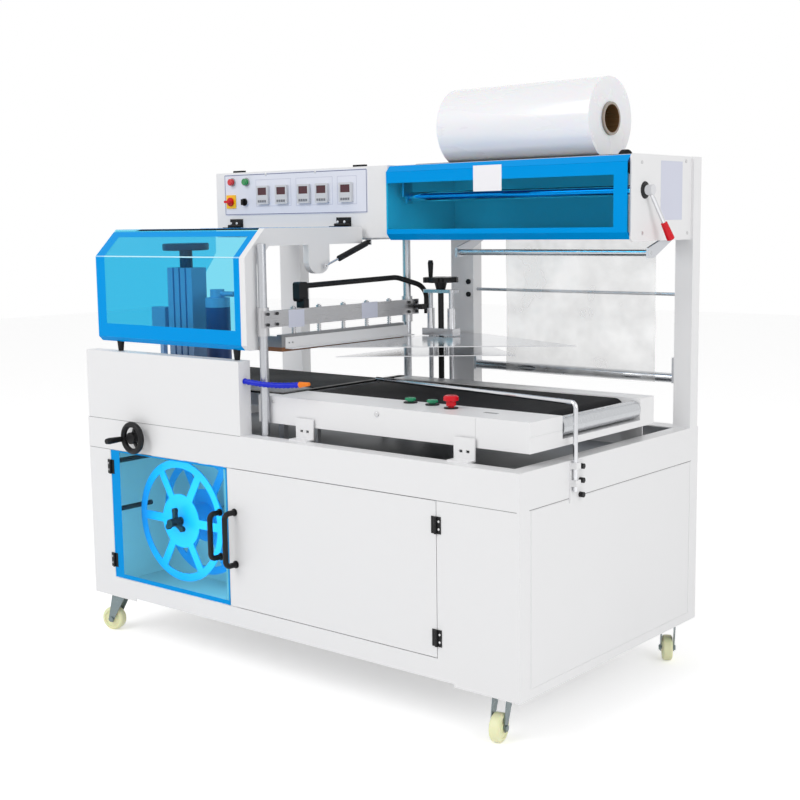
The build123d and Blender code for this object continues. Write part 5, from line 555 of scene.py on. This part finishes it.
# %% Bolts, pads, races and the film's core
painted_boxes = (
    (beam_steel, (765.4, 30, 1000), (775, 730, 1062), BLACK, 0.0),               # bolt heads on the seal beam
    (anodised, (140, 110, 811.2), (760, 670, 818), BLACK, 0.0),                  # pad on the lower jaw
    (jaw_aluminium, (752.1, 125, 940), (790, 680, 980), (232, 232, 233), 0.0),   # channel beside the seal bar
    (drive_metal, (150, 140, 1165.5), (310, 300, 1240), (20, 60, 96), 0.0),      # disc and hub on the drive column
    (drive_metal, (330, 180, 600), (450, 270, 1046), (44, 78, 134), 0.2),        # motor
    (ground_steel, (80, 2, 395), (104, 166, 580), BLACK, 0.0),                   # bars beside the reel
    (inner_paint, (0, 0, 100), (668.5, 897, 624.9), (234, 235, 237), None),      # reel compartment
    (fork_steel, (-60, -60, 118.3), (1750, 960, 131.9), (214, 92, 62), 0.0),     # swivel races of the castors
)
for finish, low_corner, high_corner, tone, metal in painted_boxes:
    paint_box(finish, low_corner, high_corner, tone, metal)
ROLL_CENTRE = place(0, 675, 1570.9)
for core_radius, tone in ((46, (150, 140, 128)), (38.6, (112, 84, 54))):
    paint_where(film_wound, RING_MASK, tone, Y=ROLL_CENTRE.y, Z=ROLL_CENTRE.z, Radius=core_radius * MM)
print("boxes painted", len(painted_boxes))

# %% [markdown]
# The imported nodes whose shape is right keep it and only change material. A
# table of node and finish says it all in one place.

# %% Finishes on the CAD nodes
node_finish = {
    "cabinet_panels": white_paint, "inner_frame": inner_paint, "left_housing": white_paint,
    "head_frame": white_paint, "roller_bearings": anodised, "steel_guides": ground_steel,
    "fixed_hinges": black_plastic, "control_panel": panel_print, "timer_modules": timer_plastic,
    "panel_lamps": lamp_glass, "film_web": film_clear, "lower_jaw": anodised, "drive_unit": drive_metal,
    "conveyor_frame": white_paint, "conveyor_belts": belt_rubber, "air_hose": hose_plastic,
    "left_door": acrylic, "left_door_fittings": black_plastic, "right_door": white_paint,
    "right_door_fittings": black_plastic, "reel_flanges": reel_paint, "reel_knob": black_plastic,
    "hand_crank": black_plastic, "main_switch": red_plastic, "selector_switch": black_plastic,
    "start_button": green_plastic, "jog_button": green_plastic, "stop_button": red_plastic,
    "film_cover": cover_acrylic, "film_roll": film_wound, "feed_roller_front": belt_rubber,
    "feed_roller_rear": belt_rubber, "lever_hub": chrome, "lever_grip": red_plastic,
    "idler_roller": roller_steel, "low_roller": roller_steel, "film_plates": plate_steel,
    "lift_handwheel": black_plastic, "guard_cover": acrylic, "guard_side_frame": white_paint,
    "guard_fittings": black_plastic, "strut_barrel": black_plastic, "strut_rod": chrome,
    "seal_beam": beam_steel, "seal_bar": jaw_aluminium, "seal_face": seal_fibre, "head_conduit": black_plastic,
    "infeed_head_roller": roller_steel, "infeed_tail_roller": roller_steel, "end_roller": roller_steel,
    "outfeed_roller": roller_steel, "guide_rod": chrome,
}
for corner in ("front_left", "front_right", "rear_left", "rear_right"):
    node_finish["castor_fork_" + corner] = fork_steel
    node_finish["castor_wheel_" + corner] = nylon
for node, finish in node_finish.items():
    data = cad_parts[node].data
    data.materials.clear()
    data.materials.append(finish)
print("nodes with a finish", len(node_finish), "of", len(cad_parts))

# %% [markdown]
# The blue covers are one tinted sheet each, with a white frame behind its
# edges, so their borders look like a deeper, solid blue. Each border is made
# as thin strips that lie on the sheet's outer face. A strip is one flat
# four-cornered face that bmesh gives a thickness. Three helpers lay it on a
# face that looks to the front, that slopes or lies flat, or that looks right.

# %% Strips
BORDER_THICK = 0.4
PROUD = 0.05  # gap between a strip and the face that it lies on, so that the two don't flicker


def strip(bm, corners, thick):
    """A flat plate from its corners in drawing millimetres; it grows by thick along its normal."""
    face = bm.faces.new([bm.verts.new(place(*corner)) for corner in corners])
    face.normal_update()
    shift = face.normal * thick * MM
    grown = bmesh.ops.extrude_face_region(bm, geom=[face])
    fresh = [item for item in grown["geom"] if isinstance(item, bmesh.types.BMVert)]
    bmesh.ops.translate(bm, verts=fresh, vec=shift)


def cross_strip(bm, x0, x1, start, end, thick=BORDER_THICK):
    """A strip along x between two lines, each given by its y and z."""
    (y0, z0), (y1, z1) = start, end
    strip(bm, [(x0, y0, z0), (x1, y0, z0), (x1, y1, z1), (x0, y1, z1)], thick)


def front_strip(bm, x0, x1, z0, z1, y, thick=BORDER_THICK):
    """A strip on a face that looks towards the front."""
    cross_strip(bm, x0, x1, (y, z0), (y, z1), thick)


def side_strip(bm, x, y0, y1, z0, z1, thick=BORDER_THICK):
    """A strip on a face that looks to the right."""
    strip(bm, [(x, y0, z0), (x, y1, z0), (x, y1, z1), (x, y0, z1)], thick)


def finish_piece(bm, name, material, body, smooth=False):
    """Cleans a finished bmesh, makes its object and says what it rides on."""
    bmesh.ops.recalc_face_normals(bm, faces=bm.faces)
    for face in bm.faces:
        face.smooth = smooth
    face_count = len(bm.faces)
    made = new_object(bm, name, material)
    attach(made, body)
    print("piece", name, "with", face_count, "faces on", body)
    return made


# %% [markdown]
# The guard is bent from one sheet: a lip under its front face, the front, a
# slope and the top. Its border follows each of these. Where front and slope
# meet, the bend catches the light, and a narrow pale strip is its painted highlight.

# %% Guard border
GUARD_LEFT, GUARD_RIGHT = 60, 700
GLASS_LEFT, GLASS_RIGHT = 102, 677
GUARD_FRONT, GUARD_TOP = 10 - PROUD, 1285 + PROUD
FRONT_LOW, FRONT_GLASS, FRONT_HIGH = 959.2, 1000, 1204.5
LIP_BACK, LIP_FRONT = (24, 945 - PROUD), (10, 959)
SLOPE_LOW, SLOPE_GLASS, SLOPE_HIGH = (10.2, 1205.3), (68, 1262.4), (83, 1277.1)
GUARD_SIDES = ((GUARD_LEFT, GLASS_LEFT), (GLASS_RIGHT, GUARD_RIGHT))
border = bmesh.new()
front_strip(border, GUARD_LEFT, GUARD_RIGHT, FRONT_LOW, FRONT_GLASS, GUARD_FRONT)
for x0, x1 in GUARD_SIDES:
    front_strip(border, x0, x1, FRONT_GLASS, FRONT_HIGH, GUARD_FRONT)
cross_strip(border, GUARD_LEFT, GUARD_RIGHT, LIP_BACK, LIP_FRONT)
for x0, x1 in GUARD_SIDES:
    cross_strip(border, x0, x1, SLOPE_LOW, SLOPE_HIGH)
cross_strip(border, GLASS_LEFT, GLASS_RIGHT, SLOPE_GLASS, SLOPE_HIGH)
for y0, y1 in ((92, 128), (440, 478)):
    cross_strip(border, GUARD_LEFT, GUARD_RIGHT, (y0, GUARD_TOP), (y1, GUARD_TOP))
finish_piece(border, "guard_border", blue_paint, "guard")

# A painted highlight: a pale strip laid along the bend between front and slope.
edge = bmesh.new()
cross_strip(edge, GUARD_LEFT, GUARD_RIGHT, (9.7, 1203.4), (11.2, 1206.6), thick=0.5)
bend_highlight_paint = coated("painted bend highlight", (190, 236, 250))
finish_piece(edge, "guard_bend_highlight", bend_highlight_paint, "guard")

# %% [markdown]
# The left door and the film cover have the same kind of border. The door's
# is four strips round its pane, widest at the hinge side. The cover is bent
# over at its top and bottom, so there the border goes round two bevels and
# on over the flat top.

# %% Door and cover borders
DOOR_LEFT, DOOR_RIGHT, DOOR_LOW, DOOR_HIGH = 107, 633, 201, 606
PANE_LEFT, PANE_RIGHT, PANE_LOW, PANE_HIGH = 148, 628, 214, 602
border = bmesh.new()
front_strip(border, DOOR_LEFT, PANE_LEFT, DOOR_LOW, DOOR_HIGH, -PROUD)
front_strip(border, PANE_LEFT, DOOR_RIGHT, DOOR_LOW, PANE_LOW, -PROUD)
front_strip(border, PANE_LEFT, DOOR_RIGHT, PANE_HIGH, DOOR_HIGH, -PROUD)
front_strip(border, PANE_RIGHT, DOOR_RIGHT, PANE_LOW, PANE_HIGH, -PROUD)
finish_piece(border, "left_door_border", blue_paint, "left_door_leaf")

COVER_FACE = 509
COVER_Y = COVER_FACE - PROUD
COVER_X = (816, 1637)
COVER_LOW, COVER_HIGH = 1244.0, 1462.7
COVER_BEND = 18
BEVEL = COVER_BEND - 0.2
WINDOW_LOW, WINDOW_HIGH, WINDOW_RIGHT = 1276, 1412, 1596
bevel_y = COVER_FACE + BEVEL
border = bmesh.new()
front_strip(border, *COVER_X, COVER_LOW + COVER_BEND, WINDOW_LOW, COVER_Y)
front_strip(border, *COVER_X, WINDOW_HIGH, COVER_HIGH - COVER_BEND, COVER_Y)
front_strip(border, WINDOW_RIGHT, COVER_X[1], WINDOW_LOW, WINDOW_HIGH, COVER_Y)
cross_strip(border, *COVER_X, (COVER_FACE, COVER_HIGH - BEVEL), (bevel_y, COVER_HIGH + PROUD))
cross_strip(border, *COVER_X, (527, COVER_HIGH + PROUD), (555, COVER_HIGH + PROUD), thick=0.2)
cross_strip(border, *COVER_X, (bevel_y, COVER_LOW - PROUD), (COVER_FACE, COVER_LOW + BEVEL))
finish_piece(border, "film_cover_border", blue_paint, "cover")

# %% [markdown]
# Labels and name plates stay blank here: only their plates are made. A thin
# plate with a fine line round it reads as a printed label without any words.

# %% Blank plates and panel lines
line_print = coated("printed line", (96, 104, 140))
faint_print = coated("faint printed line", (186, 190, 208))
label_paper = coated("blank label", (244, 243, 247), 0.1)
plate_print = coated("blank plate", (208, 211, 226))
LINE_THICK, PLATE_THICK = 0.25, 0.5
PANEL_FACE = PANEL_Y - PROUD


def outline(bm, x0, x1, z0, z1, wide):
    """Four strips round a rectangle on the control panel."""
    front_strip(bm, x0, x1, z0, z0 + wide, PANEL_FACE, LINE_THICK)
    front_strip(bm, x0, x1, z1 - wide, z1, PANEL_FACE, LINE_THICK)
    front_strip(bm, x0, x0 + wide, z0 + wide, z1 - wide, PANEL_FACE, LINE_THICK)
    front_strip(bm, x1 - wide, x1, z0 + wide, z1 - wide, PANEL_FACE, LINE_THICK)


panel_lines = bmesh.new()
outline(panel_lines, 105, 733, 1328, 1458, wide=2.2)
finish_piece(panel_lines, "panel_outline", line_print, ROOT)
panel_lines = bmesh.new()
for x0, x1 in ((252, 412), (434, 592), (612, 692)):
    outline(panel_lines, x0, x1, 1354, 1440, wide=1.2)
finish_piece(panel_lines, "panel_groups", faint_print, ROOT)

label = bmesh.new()
front_strip(label, 1140, 1238, 1380, 1452, COVER_Y - BORDER_THICK, PLATE_THICK)
finish_piece(label, "cover_label", label_paper, "cover")
END_PLATE_X = 1642
plate = bmesh.new()
side_strip(plate, END_PLATE_X + PROUD, 677, 797, 1293, 1451, PLATE_THICK)
finish_piece(plate, "end_blank_plate", plate_print, ROOT)

BEAM_FACE = 765 + PROUD
plates = bmesh.new()
for y0, y1, z0, z1 in ((134, 198, 1004, 1054), (447, 520, 1010, 1058)):
    side_strip(plates, BEAM_FACE, y0, y1, z0, z1)
finish_piece(plates, "beam_blank_plates", plate_print, "seal_head")

# %% [markdown]
# Screws are small turned heads. Each is a short cylinder with a bevelled
# rim, made by one function and set where a panel or hinge has one. The same
# function, wider, makes the black collar round the lever's hub.

# %% Screw heads and the lever's collar
FRONT, RIGHT = (0, -1, 0), (1, 0, 0)


def stud(bm, at, axis, radius, height, segments=20, bevel=0.25):
    """A round head on a surface: at is its seat, axis points out of it, bevel is a share of the radius."""
    out_of = Vector(axis).normalized()
    turn = Vector((0, 0, 1)).rotation_difference(out_of).to_matrix().to_4x4()
    middle = place(*at) + out_of * height * MM / 2
    made = bmesh.ops.create_cone(bm, cap_ends=True, segments=segments, radius1=radius * MM, radius2=radius * MM,
                                 depth=height * MM, matrix=Matrix.Translation(middle) @ turn)
    near_top = height * MM * 0.9
    rim = {edge for vert in made["verts"] for edge in vert.link_edges
           if all((v.co - place(*at)).dot(out_of) > near_top for v in edge.verts)}
    bmesh.ops.bevel(bm, geom=list(rim), offset=radius * bevel * MM, segments=2, profile=0.5, affect="EDGES",
                    material=-1)


screws = bmesh.new()
for y, z in ((574, 1444), (817, 1453), (579, 1259), (829, 1256)):  # corners of the end plate
    stud(screws, (END_PLATE_X, y, z), RIGHT, 5, 2)
for x in (300, 520):  # top of the control panel
    stud(screws, (x, PANEL_Y, 1456), FRONT, 4, 2)
stud(screws, (1146, 70, 796), FRONT, 7, 4)  # front of the conveyor
for x in (720, 760):
    stud(screws, (x, 70, 800), FRONT, 5, 3)
finish_piece(screws, "panel_screws", zinc, ROOT)

HINGE_FACE = -2.0 - PROUD
screws = bmesh.new()
for x, low_z, high_z in ((97, 543, 563), (97, 245, 265), (1406, 535, 555), (1406, 243, 263)):  # door hinges
    for z in (low_z, high_z):
        stud(screws, (x, HINGE_FACE, z), FRONT, 3.4, 1.0, segments=16)
for x in (142, 170, 622, 650):  # hinges under the control panel
    stud(screws, (x, 503 - PROUD, 1300), FRONT, 4.6, 1.2, segments=16)
finish_piece(screws, "hinge_screws", zinc, ROOT)

collar = bmesh.new()
stud(collar, (END_PLATE_X, 592, 1372), RIGHT, 23, 2.4, segments=48, bevel=0.1)
finish_piece(collar, "lever_collar", black_plastic, ROOT)

# %% [markdown]
# The cabinet is folded from several sheets, and where two of them meet the
# eye sees a fine dark line. A line that a solid only hints at is laid on as
# a hair-thin strip. The slot in the top of the conveyor's front box is one
# more such strip. Two plain black tabs stand for the lid's hinges on top of
# the control head: they are small and low, so a thick strip each will do.

# %% Panel seams and lid hinges
SEAM_THICK = 0.15
SEAM_Z = (606.6, 608.0)
seams = bmesh.new()
front_strip(seams, 5, 694, 702.2, 703.6, -PROUD, SEAM_THICK)
for x0, x1 in ((4, 106), (1397, 1641)):
    front_strip(seams, x0, x1, *SEAM_Z, -PROUD, SEAM_THICK)
for y0, y1 in ((40, 214), (277, 860)):
    side_strip(seams, 1650 + PROUD, y0, y1, 606.6, 608.2, SEAM_THICK)
BOX_TOP = 815 + PROUD
cross_strip(seams, 1438, 1480, (143, BOX_TOP), (157, BOX_TOP), SEAM_THICK)
seam_shade = coated("seam shade", (128, 128, 130))
finish_piece(seams, "panel_seams", seam_shade, ROOT)

HEAD_TOP = 1466 + PROUD
TAB_WIDE, TAB_THICK = 46, 6
lid = bmesh.new()
for x0 in (140, 672):
    cross_strip(lid, x0, x0 + TAB_WIDE, (522, HEAD_TOP), (536, HEAD_TOP), TAB_THICK)
finish_piece(lid, "lid_hinges", black_plastic, ROOT)

# %% [markdown]
# The film hangs behind the machine as a soft, creased sheet. A bmesh grid is
# cut fine enough to bend, then low waves and small creases move its points a
# few millimetres, more in the middle than along the top edge that holds it.

# %% Hanging film
FILM_X, FILM_Z, FILM_Y = (1010, 1535), (828, 1280), 851
FILM_COLUMNS, FILM_ROWS = 90, 78
CREASE = 0.01
HELD_SHARE = 0.15  # the top share of the sheet that hangs straight
# How many waves across and up, which layer of the noise they read, and how strong they are
FILM_WAVES = ((4.0, 1.2, 3.0, 1.0), (9.0, 7.0, 9.0, 0.5))
film = bmesh.new()
bmesh.ops.create_grid(film, x_segments=FILM_COLUMNS, y_segments=FILM_ROWS, size=0.5)
film_size = Vector((FILM_X[1] - FILM_X[0], 0, FILM_Z[1] - FILM_Z[0])) * MM
film_low = place(FILM_X[0], FILM_Y, FILM_Z[0])
for vert in film.verts:
    across, up = vert.co.x + 0.5, vert.co.y + 0.5
    loose = math.sin(math.pi * min(up + HELD_SHARE, 1.0))
    wave = sum(share * noise.noise(Vector((across * wide, up * tall, layer)))
               for wide, tall, layer, share in FILM_WAVES)
    vert.co = film_low + Vector((across * film_size.x, CREASE * loose * wave, up * film_size.z))
film_piece = finish_piece(film, "hanging_film", film_clear, ROOT, smooth=True)
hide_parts("film_web")
